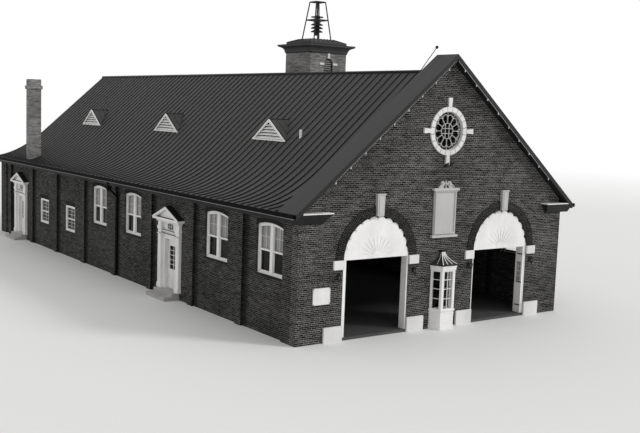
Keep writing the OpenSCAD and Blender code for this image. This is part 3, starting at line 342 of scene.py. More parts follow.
def trim_stone(name, low, high):
    """Pale stone, greyer at the height of the arches' keystones."""
    finish = Finish(name, 0.75)
    height = finish.axes()[2]
    above = finish.math("GREATER_THAN", height, KEYS_ZS[0])
    below = finish.math("LESS_THAN", height, KEYS_ZS[1])
    keys = finish.math("MULTIPLY", above, below)
    tone = finish.math("SUBTRACT", 1.0, finish.math("MULTIPLY", keys, KEYS_DARKER))
    colour = finish.mix(finish.noise(30.0, 5.0), low, high)
    finish.colour(finish.stained(finish.mix(1.0, colour, tone, "MULTIPLY")))
    finish.bump(finish.noise(120.0, 4.0), 0.002)
    return finish.material


def glazed(name, level, roughness):
    """Clear window glass."""
    finish = Finish(name, roughness)
    finish.colour(finish.mix(finish.noise(1.5, 2.0), grey(level), grey(level * 1.2)))
    finish.shader.inputs["IOR"].default_value = 1.12
    finish.shader.inputs["Transmission Weight"].default_value = 1.0
    finish.bump(finish.noise(1.3, 1.0), 0.002, 0.2)
    return finish.material


# Plain finishes: darkest and palest grey, warmth, roughness, repeats for each metre, relief and gloss
SPECKLED = {
    "tablet_stone": (0.42, 0.52, 0.01, 0.75, 30.0, 0.002),
    "seam_metal": (0.008, 0.014, 0.0, 0.5, 9.0, 0.001, 0.25),
    "pale_metal": (0.34, 0.46, 0.0, 0.45, 9.0, 0.001),
    "bead_metal": (0.2, 0.3, 0.0, 0.5, 9.0, 0.001),
    # Near-black cornice metal: partly dark paint, partly painted shade under the eaves and returns
    "cornice_metal": (0.009, 0.016, 0.0, 0.6, 7.0, 0.001, 0.25),
    "tower_metal": (0.045, 0.08, 0.0, 0.7, 3.0, 0.002, 0.15),
    "blind": (0.38, 0.46, 0.01, 0.9, 60.0, 0.0006),
    "lamp_glass": (0.5, 0.62, 0.01, 0.15, 20.0, 0.0003),
    "dark_metal": (0.007, 0.014, 0.0, 0.55, 12.0, 0.001, 0.3),
    # Near-black gutters and downspouts: partly dark paint, partly painted shade
    "black_metal": (0.002, 0.005, 0.0, 0.8, 12.0, 0.001, 0.08),
    "white_paint": (0.72, 0.84, 0.01, 0.4, 6.0, 0.0008),
    "grey_paint": (0.36, 0.46, 0.01, 0.45, 6.0, 0.0008),
    # Near-black opaque oval pane: painted shade of the unlit room behind it
    "oval_glass_painted_shade": (0.006, 0.012, 0.0, 0.12, 3.0, 0.0004),
    "sill_brick": (0.012, 0.03, 0.02, 0.9, 14.0, 0.003, 0.12),
    "dark_floor": (0.035, 0.06, 0.01, 0.7, 5.0, 0.002),
    "concrete": (0.3, 0.42, 0.02, 0.85, 8.0, 0.003),
}

# Each brick finish takes its darkest brick, its palest brick and its joint
FINISHES = {
    "front_brick": wall_brick("front_brick", grey(0.003, 0.02), grey(0.048, 0.02), grey(0.32, 0.03)),
    # The side walls carry painted shade beside their pilasters
    "brick": wall_brick("side_brick", grey(0.005, 0.02), grey(0.042, 0.02), grey(0.19, 0.03), with_painted_shade=True),
    "tower_brick": wall_brick("tower_brick", grey(0.14, 0.02), grey(0.22, 0.02), grey(0.25, 0.02)),
    "ring_brick": ring_brick("ring_brick", grey(0.003, 0.02), grey(0.009, 0.02), grey(0.13, 0.03)),
    "trim_stone": trim_stone("trim_stone", grey(0.6, 0.01), grey(0.74, 0.01)),
    "roof_metal": roof_metal("roof_metal", 0.022),
    "glass": glazed("glass", 0.78, 0.02),
    **{name: speckled(name, *values) for name, values in SPECKLED.items()},
}

NODE_FINISH = {
    "dark_floor": "floor_slab",
    "concrete": "door_steps",
    "front_brick": "front_wall",
    "ring_brick": "arch_rings",
    "brick": (
        "left_wall_front left_wall_over_middle_door left_wall_middle left_wall_over_rear_door "
        "left_wall_rear right_wall rear_wall"
    ),
    "tower_brick": "tower_walls chimney",
    "sill_brick": "window_sills",
    "trim_stone": "stone_trim",
    "tablet_stone": "tablet",
    # Cornices and returns near-black: partly dark paint, partly painted shade
    "cornice_metal": "eave_cornices gable_returns",
    "tower_metal": "tower_cornice",
    "roof_metal": "main_roof front_roof_strip vent_gablets cant_bay_roof",
    # Gutters and downspouts near-black: partly dark paint, partly painted shade
    "black_metal": "gutters downspouts",
    "dark_metal": "ridge_rod siren_frame siren wall_lamps tower_louvres",
    "white_paint": (
        "vent_louvres vent_pipe window_frames door_surrounds middle_door_leaf rear_door_leaf "
        "engine_bay_frames engine_doors cant_bay_frame notice_board"
    ),
    "grey_paint": "oculus_tracery",
    "glass": "window_glass middle_door_glass rear_door_glass front_glass",
}
for finish_name, node_names in NODE_FINISH.items():
    for node_name in node_names.split():
        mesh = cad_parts[node_name].data
        mesh.materials.clear()
        mesh.materials.append(FINISHES[finish_name])


def circle(count, start=0.0):
    """Points at equal steps round a circle of radius 1."""
    angles = [math.tau * (k + start) / count for k in range(count)]
    return [(math.cos(angle), math.sin(angle)) for angle in angles]


def link(name, data):
    """A new object, linked to the scene."""
    made = bpy.data.objects.new(name, data)
    bpy.context.scene.collection.objects.link(made)
    return made


def heading(path, i):
    """Direction of a path at one of its points."""
    return (path[min(i + 1, len(path) - 1)] - path[max(i - 1, 0)]).normalized()


class Pile:
    """Boxes, prisms and tubes joined in one mesh."""

    def __init__(self):
        self.points = []
        self.faces = []

    def solid(self, points, faces):
        """Add points and the faces between them."""
        first = len(self.points)
        self.points.extend(Vector(point) for point in points)
        self.faces.extend([first + index for index in face] for face in faces)

    def prism(self, near, far):
        """A closed solid between two outlines with as many corners."""
        count = len(near)
        sides = [[i, (i + 1) % count, count + (i + 1) % count, count + i] for i in range(count)]
        ends = [list(range(count))[::-1], list(range(count, 2 * count))]
        self.solid([*near, *far], sides + ends)

    def chain(self, rings):
        """Prisms from each outline to the next."""
        for near, far in zip(rings, rings[1:]):
            self.prism(near, far)

    def upright(self, outline, foot, top):
        """A prism that stands on an outline of X and Y."""
        self.prism(*([(x, y, z) for x, y in outline] for z in (foot, top)))

    def through(self, outline, near, far):
        """A prism that runs along Y behind an outline of X and Z."""
        self.prism(*([(x, y, z) for x, z in outline] for y in (near, far)))

    def box(self, corner, other):
        """A box between two opposite corners."""
        (x0, x1), (y0, y1), (z0, z1) = [sorted(pair) for pair in zip(corner, other)]
        self.upright([(x0, y0), (x1, y0), (x1, y1), (x0, y1)], z0, z1)

    def raised(self, face, depth, y, half, foot, top):
        """A box that stands out from a face at X, as far to each side of y."""
        self.box((face - depth, y - half, foot), (face, y + half, top))

    def tube(self, path, radius, sides=8):
        """A round bar along a path of points."""
        path = [Vector(point) for point in path]
        rings = []
        for i, point in enumerate(path):
            turn = heading(path, i).to_track_quat("Z", "Y").to_matrix()
            rings.append([point + turn @ Vector((a, b, 0)) * radius for a, b in circle(sides)])
        self.chain(rings)

    def turned(self, foot, outline, sides=16):
        """A shape turned about an upright axis, from pairs of radius and height."""
        foot, spokes = Vector(foot), circle(sides)
        points = [foot + Vector((a * radius, b * radius, z)) for radius, z in outline for a, b in spokes]
        faces = []
        for first in range(0, len(points) - sides, sides):
            for k in range(sides):
                after = (k + 1) % sides
                faces.append([first + k, first + after, first + sides + after, first + sides + k])
        faces.append(list(range(sides))[::-1])
        faces.append([len(points) - sides + k for k in range(sides)])
        self.solid(points, faces)

    def strip(self, path, width, thick):
        """A flat band along a path, with a vector across it and a thickness."""
        rings = []
        for i, point in enumerate(path):
            out = width.cross(heading(path, i)).normalized() * thick
            left, right = point - width / 2, point + width / 2
            rings.append([left, right, right + out, left + out])
        self.chain(rings)

    def bulb(self, path, radii, sides=12):
        """A round shape along a level path in X, with a radius at each point."""
        self.chain([
            [Vector(point) + Vector((0.0, a, b)) * radius for a, b in circle(sides)]
            for point, radius in zip(path, radii)
        ])

    def piece(self, name, finish, slot=None, body="building", smooth=False):
        """Make the object, with its finish and body; the slot is not used."""
        mesh = bpy.data.meshes.new(name)
        mesh.from_pydata(self.points, [], self.faces)
        mesh.validate()
        mesh.materials.append(FINISHES[finish])
        mesh.polygons.foreach_set("use_smooth", [smooth] * len(mesh.polygons))
        made = link(name, mesh)
        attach(made, body)
        return made


SEAM_W = 0.03
SEAM_H = 0.042
SEAM_SUNK = 0.003
FLARE_STEPS = 9


def roof_seams():
    """Standing seams down both slopes of the main roof."""
    seams = Pile()
    flare = [FLARE_X + (EAVE_X - FLARE_X) * i / FLARE_STEPS for i in range(FLARE_STEPS)]
    steps = [0.03, *flare, EAVE_X - 0.004]
    y = FIRST_SEAM_Y
    while y < ROOF_REAR_Y - SEAM_W:
        for side in (-1, 1):
            low = [(side * x, roof_z(x) - SEAM_SUNK) for x in steps]
            high = [(side * x, roof_z(x) + SEAM_H) for x in steps]
            for i in range(len(steps) - 1):
                outline = [low[i], low[i + 1], high[i + 1], high[i]]
                seams.through(outline, y - SEAM_W / 2, y + SEAM_W / 2)
        y += SEAM_PITCH
    seams.piece("roof_seams", "seam_metal", "roof_metal")


VENT_SEAM_R = 0.014
VENT_ROLL_R = 0.025
VENT_SEAM_XS = (0.06, 0.36, 0.66)


def vent_seams():
    """Seams on the two small slopes of each roof vent, and a roll along its ridge."""
    seams = Pile()
    foot = roof_z(VENT_X)
    top = foot + VENT_H
    for y in VENT_YS:
        for side in (-1, 1):
            for shift in VENT_SEAM_XS:
                x = side * (VENT_X - shift)
                share = shift * UPPER_SLOPE / VENT_H
                for turn in (-1, 1):
                    low = (x, y + turn * VENT_HALF * (1 - share), foot + VENT_H * share)
                    seams.tube([low, (x, y, top)], VENT_SEAM_R, 6)
            roll = [(side * (VENT_X + 0.02), y, top), (side * (VENT_X - 0.98), y, top)]
            seams.tube(roll, VENT_ROLL_R)
    seams.piece("vent_seams", "seam_metal", "roof_metal", smooth=True)


RIDGE_ROLL_R = 0.06


def ridge_roll():
    """Round capping along the ridge."""
    roll = Pile()
    z = RIDGE_Z + 0.01
    roll.tube([(0, STRIP_BACK_Y, z), (0, ROOF_REAR_Y, z)], RIDGE_ROLL_R, 12)
    roll.piece("ridge_roll", "roof_metal", smooth=True)


WALLS = {
    "left": lambda along, z, depth: (-HALF_W + depth, along, z),
    "right": lambda along, z, depth: (HALF_W - depth, along, z),
    "rear": lambda along, z, depth: (along, REAR_Y - depth, z),
}


def wall_box(pile, wall, along, z, depth):
    """A box on a wall from three pairs; depth runs inwards."""
    place = WALLS[wall]
    pile.box(place(along[0], z[0], depth[0]), place(along[1], z[1], depth[1]))


def wall_prism(pile, wall, outline, depth):
    """A prism on a wall, between two depths."""
    place = WALLS[wall]
    pile.prism(*([place(along, z, end) for along, z in outline] for end in depth))


def windows():
    """Wall, middle and sizes of every side and rear window."""
    found = [("left", bay_y(number), PAIR) for number in LEFT_PAIRS]
    found += [("left", bay_y(number), SINGLE) for number in LEFT_SINGLES]
    found += [("right", bay_y(number), PAIR) for number in RIGHT_PAIRS]
    found += [("rear", side * REAR_WINDOW_X, PAIR) for side in (-1, 1)]
    return found


def lights(size):
    """Left and right edge of each light of a window."""
    edge = size["width"] / 2 - FRAME_W
    if size["mullion"]:
        return [(-edge, -size["mullion"] / 2), (size["mullion"] / 2, edge)]
    return [(-edge, edge)]


def bow_radius(half, rise):
    """Radius of a low arch from half its width and its rise."""
    return (half * half + rise * rise) / (2 * rise)


def head_z(size, along):
    """Height of the curved head of a window's lights."""
    radius = bow_radius(size["width"] / 2 - FRAME_W, size["rise"] * 0.85)
    return size["head"] - FRAME_W - radius + math.sqrt(radius * radius - along * along)


def meeting_z(size):
    """Middle height of a window's meeting rail."""
    return (size["sill"] + size["head"] - size["rise"]) / 2


SASH_W = 0.03
UPPER_BACK = 0.025
LOWER_BACK = 0.045
RAIL_HALF = 0.025
BAR_W = 0.014
BAR_D = 0.016
CROSS_INSET = 0.001
HEAD_STEPS = 8


def under_head(pile, wall, middle, size, along, depth):
    """A sash rail that follows the underside of a window's head."""
    left, right = along
    edges = [left + (right - left) * i / HEAD_STEPS for i in range(HEAD_STEPS + 1)]
    for c, d in zip(edges, edges[1:]):
        corners = [(c, 0.0), (d, 0.0), (d, SASH_W), (c, SASH_W)]
        wall_prism(pile, wall, [(middle + u, head_z(size, u) - drop) for u, drop in corners], depth)


def glazing_bars(pile, wall, span, heights, back, rows):
    """One upright bar and the cross bars between rows of panes."""
    centre = (span[0] + span[1]) / 2
    low, high = heights
    wall_box(pile, wall, (centre - BAR_W / 2, centre + BAR_W / 2), heights, (back - BAR_D, back))
    for k in range(1, rows):
        z = low + (high - low) * k / rows
        depth = (back - BAR_D + CROSS_INSET, back - CROSS_INSET)
        wall_box(pile, wall, span, (z - BAR_W / 2, z + BAR_W / 2), depth)


def window_sashes():
    """Sash rails and glazing bars of every window."""
    sashes = Pile()
    for wall, middle, size in windows():
        back = size["front"] + FRAME_D
        upper = (size["front"] + UPPER_BACK, back)
        lower = (size["front"] + LOWER_BACK, back)
        rail_foot, rail_top = meeting_z(size) - RAIL_HALF, meeting_z(size) + RAIL_HALF
        bottom = size["sill"] + FRAME_W
        for left, right in lights(size):
            span = (middle + left, middle + right)
            for c, d in ((left, left + SASH_W), (right - SASH_W, right)):
                stile = (middle + c, middle + d)
                top = min(head_z(size, c), head_z(size, d))
                wall_box(sashes, wall, stile, (rail_top, top), upper)
                wall_box(sashes, wall, stile, (bottom, rail_foot), lower)
            under_head(sashes, wall, middle, size, (left, right), upper)
            for z in (bottom, rail_foot - SASH_W):
                wall_box(sashes, wall, span, (z, z + SASH_W), lower)
            top = head_z(size, (left + right) / 2)
            glazing_bars(sashes, wall, span, (rail_top, top), back, size["rows"])
            if not size["mullion"]:
                glazing_bars(sashes, wall, span, (bottom, rail_foot), back, size["rows"])
    sashes.piece("window_sashes", "white_paint")


HEAD_BRICK_H = 0.21
HEAD_GAP = 0.004
HEAD_OUT = 0.006


def window_heads():
    """Arches of bricks on end over the window heads."""
    heads = Pile()
    for wall, middle, size in windows():
        tall = min(HEAD_BRICK_H, CORNICE_Z - size["head"] - HEAD_GAP)
        half = size["width"] / 2
        radius = bow_radius(half, size["rise"])
        spread = math.asin(half / radius)
        count = int(2 * spread * (radius + tall / 2) / COURSE_H)
        across = spread / count * radius - JOINT / 2
        for k in range(count):
            angle = -spread + 2 * spread * (k + 0.5) / count
            sine, cosine = math.sin(angle), math.cos(angle)
            outline = []
            for rise, side in ((HEAD_GAP, -1), (HEAD_GAP, 1), (tall, 1), (tall, -1)):
                reach = radius + rise
                wide = across * side * reach / radius
                u, z = reach * sine + wide * cosine, reach * cosine - wide * sine
                outline.append((middle + u, size["head"] - radius + z))
            wall_prism(heads, wall, outline, (0.0, -HEAD_OUT))
    heads.piece("window_head_bricks", "sill_brick", "brick")


BEAD_R = 0.014
BRACKET_W = 0.03
COVER_XS = (5.39, 6.66)
COVER_Z = CORNICE_Z + 0.38


def eave_metal():
    """Beads and brackets along the eaves, and thin covers on their returns."""
    beads, brackets, covers = Pile(), Pile(), Pile()
    bead_z = EAVE_Z - GUTTER_H - 0.012
    for side in (-1, 1):
        bead_x = side * (GUTTER_X - 0.017)
        beads.tube([(bead_x, STRIP_FRONT_Y, bead_z), (bead_x, ROOF_REAR_Y, bead_z)], BEAD_R, 6)
        y = FRONT_Y
        while y < ROOF_REAR_Y:
            foot, top = EAVE_Z - 0.014, EAVE_Z - 0.006
            brackets.box((side * EAVE_X, y, foot), (side * GUTTER_X, y + BRACKET_W, top))
            y += BAY_L / 4
        near, far = [side * x for x in COVER_XS]
        covers.box((near, STRIP_FRONT_Y - 0.006, COVER_Z - 0.03), (far, FRONT_Y, COVER_Z + 0.006))
    beads.piece("eave_beads", "bead_metal", "dark_metal")
    covers.piece("return_covers", "white_paint")
    brackets.piece("gutter_brackets", "dark_metal")


SPOUT_Y = bay_y(4) + (BAY_L - PILASTER_W) / 2 - 0.09
SPOUT_X = HALF_W + 0.055
LEADER_XS = (EAVE_X - 0.07, EAVE_X + 0.125)
LEADER_FOOT_X = EAVE_X + 0.065
LEADER_TAPER = 0.55
COLLAR_ZS = (0.5, 1.4, 2.6, 3.5)
COLLAR = [(0.05, 0.0), (0.058, 0.01), (0.058, 0.07), (0.05, 0.08)]


def leader_heads():
    """Tapered boxes where the downspouts start, and collars down the pipes."""
    heads = Pile()
    (inner, outer), half = LEADER_XS, 0.16
    for side in (-1, 1):
        top = [(inner, -half), (outer, -half), (outer, half), (inner, half)]
        foot = [(LEADER_FOOT_X + (x - LEADER_FOOT_X) * LEADER_TAPER, y * LEADER_TAPER) for x, y in top]
        heads.prism(
            [(side * x, SPOUT_Y + y, CORNICE_Z - 0.2) for x, y in foot],
            [(side * x, SPOUT_Y + y, CORNICE_Z + 0.02) for x, y in top],
        )
        for z in COLLAR_ZS:
            heads.turned((side * SPOUT_X, SPOUT_Y, z), COLLAR)
    heads.piece("leader_heads", "black_metal", "dark_metal")


RAKE_END_X = 5.38
RAKE_DROP = 0.21
BULB_PITCH = 0.62
SOCKET = [(0.022, 0.0), (0.022, 0.05)]
BULB = [(0.008, 0.0), (0.026, 0.018), (0.024, 0.04), (0.014, 0.052)]


def rake_lamps():
    """A conduit with small lamps along the front edge of the raised strip."""
    conduit, lamps = Pile(), Pile()
    y = STRIP_FRONT_Y + 0.02
    for side in (-1, 1):
        conduit.tube([(side * x, y, strip_z(x) - RAKE_DROP) for x in (0.05, RAKE_END_X)], 0.012, 6)
        x = 0.4
        while x < RAKE_END_X:
            z = strip_z(x) - RAKE_DROP
            conduit.turned((side * x, y, z - 0.05), SOCKET, 8)
            lamps.turned((side * x, y, z - 0.1), BULB, 8)
            x += BULB_PITCH
    conduit.piece("rake_conduit", "pale_metal", "dark_metal")
    lamps.piece("rake_lamps", "lamp_glass", "glass", smooth=True)


# Reach, foot and head of each band of the tower's cornice
TOWER_BANDS = (
    (TOWER_HALF + 0.03, TOWER_TOP_Z - 0.05, TOWER_TOP_Z),
    (TOWER_OUT - 0.09, LIP_Z - 0.12, LIP_Z - 0.075),
    (TOWER_OUT + 0.002, LIP_Z - 0.022, LIP_Z + 0.006),
)
TOWER_BAND_W = 0.06


def tower_mouldings():
    """Thin bands round the tower cornice."""
    trim = Pile()
    for reach, z0, z1 in TOWER_BANDS:
        for low, high in ((-reach, -reach + TOWER_BAND_W), (reach - TOWER_BAND_W, reach)):
            trim.box((TOWER_X + low, TOWER_Y - reach, z0), (TOWER_X + high, TOWER_Y + reach, z1))
            trim.box((TOWER_X - reach, TOWER_Y + low, z0), (TOWER_X + reach, TOWER_Y + high, z1))
    trim.piece("tower_mouldings", "cornice_metal", "dark_metal")


CAP_RIBS = 7
CAP_RIB_R = 0.02
LIP_RIB_R = 0.016


def tower_cap_ribs():
    """Ribs on the tower's low cap and on the lip below it."""
    ribs = Pile()
    half, lift = TOWER_HALF, 0.006
    for turn in range(4):
        spin = Matrix.Translation((TOWER_X, TOWER_Y, 0)) @ Matrix.Rotation(turn * math.pi / 2, 4, "Z")
        for k in range(CAP_RIBS):
            share = 2 * (k + 0.5) / CAP_RIBS - 1
            x = share * half
            cap = [(x, -half, LIP_Z + TIER_H + lift), (share * DECK_HALF, -DECK_HALF, DECK_Z + lift)]
            lip = [(x, -TOWER_OUT + 0.02, LIP_Z), (x, -half, LIP_Z + 0.025)]
            for ends, radius in ((cap, CAP_RIB_R), (lip, LIP_RIB_R)):
                ribs.tube([spin @ Vector(point) for point in ends], radius, 6)
    ribs.piece("tower_cap_ribs", "seam_metal", "dark_metal", smooth=True)


SLAT_Z = 9.85
SLAT_PITCH = 0.1
SLAT_D = 0.05
SLAT_T = 0.012
SLAT_HALVES = (*[0.22] * 5, 0.19)


def tower_slats():
    """Sloping slats in the tower's two louvres, the top one shorter under the arch."""
    slats = Pile()
    for side in (-1, 1):
        y = TOWER_Y + side * (TOWER_HALF - 0.1)
        for k, half in enumerate(SLAT_HALVES):
            z = SLAT_Z + SLAT_PITCH * k
            left, right = TOWER_X - half, TOWER_X + half
            front = y + side * SLAT_D
            outline = [(left, y, z + SLAT_D), (right, y, z + SLAT_D), (right, front, z), (left, front, z)]
            slats.prism(outline, [(a, b, c + SLAT_T) for a, b, c in outline])
    slats.piece("tower_slats", "bead_metal", "dark_metal")


BAY_BARS_Z = (1.17, 1.54, 1.89)
BAY_BAR_D = 0.03
SIDE_BAR_D = 0.024
# Foot, head and projection of each band round the canted bay
BAY_BANDS = ((0.0, 0.16, 0.02), (0.6, 0.64, 0.012), (2.27, 2.3, 0.015), (2.36, 2.42, 0.05))


def canted_bay_bars():
    """Glazing bars and bands of the canted bay."""
    bars = Pile()
    back = FRONT_Y - CANT_D + CANT_POST_W
    half = 0.011
    bars.box((-half, back - BAY_BAR_D, CANT_SILL_Z), (half, back, CANT_HEAD_Z))
    for z in BAY_BARS_Z:
        bars.box((-CANT_PANE_W / 2, back - BAY_BAR_D, z - half), (CANT_PANE_W / 2, back, z + half))
    slant = Vector(((CANT_W - CANT_FRONT_W) / 2, CANT_D)).normalized()
    inward = Vector((-slant.y, slant.x))
    middle = Vector(((CANT_W + CANT_FRONT_W) / 4, -CANT_D / 2)) + inward * (CANT_POST_W - 0.016)
    run, depth = slant * CANT_SIDE_PANE_W / 2, inward * SIDE_BAR_D / 2
    corners = [middle - run - depth, middle + run - depth, middle + run + depth, middle - run + depth]
    for side in (-1, 1):
        for z in BAY_BARS_Z:
            bars.upright([(side * c.x, FRONT_Y + c.y) for c in corners], z - half, z + half)
    for z0, z1, grow in BAY_BANDS:
        wall_x, front_x, front_y = CANT_W / 2 + grow, CANT_FRONT_W / 2 + grow / 2, FRONT_Y - CANT_D - grow
        outline = [(-wall_x, FRONT_Y), (-front_x, front_y), (front_x, front_y), (wall_x, FRONT_Y)]
        bars.upright(outline, z0, z1)
    bars.piece("canted_bay_bars", "white_paint")


BELL_NECK = 0.18
BELL_POWER = 1.9
BELL_EAVES = 0.07
BELL_FOOT_Z = CANT_EAVE_Z + 0.04
BELL_TOP_Z = CANT_ROOF_Z - 0.07


def bell_point(across, back, rise):
    """A point on the bell roof: across its front, back along its side, and up."""
    shrink = (1 - rise) ** BELL_POWER * (1 - BELL_NECK) + BELL_NECK
    front_x = across * (CANT_FRONT_W / 2 + BELL_EAVES / 2)
    wall_x = math.copysign(CANT_W / 2 + BELL_EAVES, across)
    x = front_x + (wall_x - front_x) * back
    y = -(CANT_D + BELL_EAVES) * (1 - back)
    return Vector((x * shrink, FRONT_Y + y * shrink, BELL_FOOT_Z + rise * (BELL_TOP_Z - BELL_FOOT_Z)))


BELL_RIB_T = 0.014
BELL_RISES = [0.03 + 0.097 * k for k in range(11)]


def bell_roof_ribs():
    """Raised ribs up the front and the sides of the bell roof."""
    ribs = Pile()
    lines = [(across, 0.0, (0.032, 0, 0)) for across in (-1.0, -0.33, 0.33, 1.0)]
    lines += [(across, 0.5, (0.01, 0.03, 0)) for across in (-1, 1)]
    for across, back, width in lines:
        ribs.strip([bell_point(across, back, rise) for rise in BELL_RISES], Vector(width), BELL_RIB_T)
    ribs.piece("bell_roof_ribs", "white_paint")


ROLLER_R = 0.016
ROLLER_DROP = 0.03
SHADE_BACK = 0.042
SHADE_LAP = 0.02
SHADE_ROWS = 12
SHADE_COLS = 6


def shade_cloth(wall, left, right, top, length, depth, number):
    """The mesh of one shade, which sways a few millimetres."""
    place = WALLS[wall]
    points, faces = [], []
    for i in range(SHADE_ROWS + 1):
        for k in range(SHADE_COLS + 1):
            sway = 0.003 * math.sin(k * 1.9 + number) * i / SHADE_ROWS
            along = left + (right - left) * k / SHADE_COLS
            points.append(place(along, top - length * i / SHADE_ROWS, depth - ROLLER_R - sway))
    for i in range(SHADE_ROWS):
        for k in range(SHADE_COLS):
            first = i * (SHADE_COLS + 1) + k
            after = first + SHADE_COLS + 1
            faces.append([first, first + 1, after + 1, after])
    cloth = Pile()
    cloth.solid(points, faces)
    return cloth


def shades():
    """Roller shades behind the upper sashes of the paired windows."""
    rollers = Pile()
    made = 0
    for wall, middle, size in windows():
        if not size["mullion"]:
            continue
        top = size["head"] - size["rise"] - ROLLER_DROP
        depth = size["front"] + FRAME_D + SHADE_BACK
        half = size["width"] / 2 + 0.002
        place = WALLS[wall]
        rollers.tube([place(middle - half, top, depth), place(middle + half, top, depth)], ROLLER_R)
        for left, right in lights(size):
            a, b = middle + left - SHADE_LAP, middle + right + SHADE_LAP
            made += 1
            length = top - meeting_z(size) + 0.03 + 0.02 * math.sin(made * 2.3)
            shade = shade_cloth(wall, a, b, top, length, depth, made)
            cloth = shade.piece(f"shade_{made:02d}", "blind", "white_paint", smooth=True)
    rollers.piece("shade_rollers", "white_paint", smooth=True)


# Dark lead strips on the door mouldings: partly flashing, partly painted shadow lines
SHADOW_LEAD_T = 0.006
HOOD_LEAD_T = 0.022
# Drop below the hood's edge, height and depth of its raking mouldings
RAKING = ((0.03, 0.05, 0.018), (0.1, 0.02, 0.01))
MOULDING_H = 0.035
CAPITAL_Z = 2.6
FRIEZE_ZS = (2.75, 2.6)
DENTILS = 19
DENTIL_X = SURROUND_X - 0.05


def hood(y, white, dark):
    """Lead roof and mouldings of a side door's hood, with dark lead strips along its ledge that also draw
    painted shadow lines.
    """
    ledge = HOOD_Z + HOOD_EDGE_H
    half = HOOD_W / 2
    for side in (-1, 1):
        eave, peak = Vector((HOOD_X, y + side * half, ledge)), Vector((HOOD_X, y, HOOD_PEAK_Z))
        slope = (peak - eave).normalized()
        lift = Vector((0, slope.z * side, abs(slope.y))) * HOOD_LEAD_T
        out, back = Vector((-0.012, 0, 0)), Vector((-HALF_W - HOOD_X, 0, 0))
        low = [eave + out - slope * 0.02, peak + out, peak + back, eave + back]
        dark.prism(low, [corner + lift for corner in low])
        for drop, tall, depth in RAKING:
            start = (eave.y + (y - eave.y) * 0.03, ledge - drop)
            end = (y, HOOD_PEAK_Z - drop * 1.15)
            line = [start, end, (end[0], end[1] - tall), (start[0], start[1] - tall)]
            white.prism(*([(x, u, z) for u, z in line] for x in (HOOD_X, HOOD_X - depth)))
    white.raised(HOOD_X, 0.016, y, half, HOOD_Z + 0.06, HOOD_Z + 0.1)
    white.raised(HOOD_X, 0.008, y, half, HOOD_Z, HOOD_Z + 0.03)
    # Dark lead on and along the ledge: partly flashing, partly a painted shadow line under the pediment
    dark.raised(HOOD_X + 0.1, 0.114, y, half - 3 * HOOD_EDGE_H, ledge, ledge + 0.008)
    dark.raised(HOOD_X, 0.014, y, half, ledge - 0.012, ledge)


def moulding_with_shadow_lead(white, dark, x, depth, y, half, z):
    """A moulding on a face at x, with a dark strip of lead on top that also draws a painted shadow line."""
    top = z + MOULDING_H
    white.raised(x, depth, y, half, z, top)
    dark.raised(x, depth, y, half, top, top + SHADOW_LEAD_T)


def surround_mouldings(y, white, dark):
    """Ledges, pilaster caps, bead frames and dentils of a side door."""
    half = SURROUND_W / 2 - DOOR_POST_W
    for z in FRIEZE_ZS:
        moulding_with_shadow_lead(white, dark, PANEL_X, 0.1, y, half, z)
        white.raised(PANEL_X, 0.03, y, half, z - 0.02, z)
    for k in range(DENTILS):
        middle = y - SURROUND_W / 2 + SURROUND_W * (k + 0.5) / DENTILS
        white.raised(DENTIL_X, 0.04, middle, 0.025, HOOD_Z - 0.05, HOOD_Z)
    foot, top = 0.55, 2.68
    for side in (-1, 1):
        middle = y + side * (SURROUND_W - DOOR_POST_W) / 2
        moulding_with_shadow_lead(white, dark, SURROUND_X, 0.035, middle, 0.17, CAPITAL_Z)
        for u in (middle - 0.1, middle + 0.1):
            white.raised(SURROUND_X, 0.008, u, 0.012, foot, top + 0.024)
        for z in (foot, top):
            white.raised(SURROUND_X, 0.008, middle, 0.088, z, z + 0.024)


def oval_window(y, white, panes):
    """Frame, bars and near-black pane of the oval window over a side door; the pane's darkness is painted
    shade.
    """
    ring = circle(32)
    (wide, tall), centre = OVAL_HALVES, OVAL_Z
    frame_w = 0.04
    out_w, out_h = wide + frame_w, tall + frame_w
    for (a, b), (c, d) in zip(ring, ring[1:] + ring[:1]):
        outline = [(a * wide, b * tall), (c * wide, d * tall), (c * out_w, d * out_h), (a * out_w, b * out_h)]
        near = [(PANEL_X - 0.012, y + u, centre + v) for u, v in outline]
        white.prism(near, [(PANEL_X, u, z) for _, u, z in near])
    half, reach = 0.006, tall * 0.95
    white.raised(PANEL_X, 0.02, y, wide, centre - half, centre + half)
    for u in (y - wide / 3, y + wide / 3):
        white.raised(PANEL_X, 0.02, u, half, centre - reach, centre + reach)
    shrink = 0.999
    pane = [(PANEL_X, y + a * wide * shrink, centre + b * tall * shrink) for a, b in ring]
    panes.prism(pane, [(x + GLASS_T, u, z) for x, u, z in pane])


def door_trim():
    """Hoods, mouldings and oval windows of the side door surrounds."""
    white, dark, panes = Pile(), Pile(), Pile()
    for y in DOORS.values():
        hood(y, white, dark)
        surround_mouldings(y, white, dark)
        oval_window(y, white, panes)
    white.piece("door_mouldings", "white_paint")
    dark.piece("door_hood_roofs_and_shadow_leads", "seam_metal", "roof_metal")
    panes.piece("door_oval_glass", "oval_glass_painted_shade", "glass")


PANE_ROWS = 5
KNOB_DEPTHS = (0.0, 0.02, 0.04, 0.055, 0.065)
KNOB_RADII = (0.03, 0.012, 0.012, 0.028, 0.014)


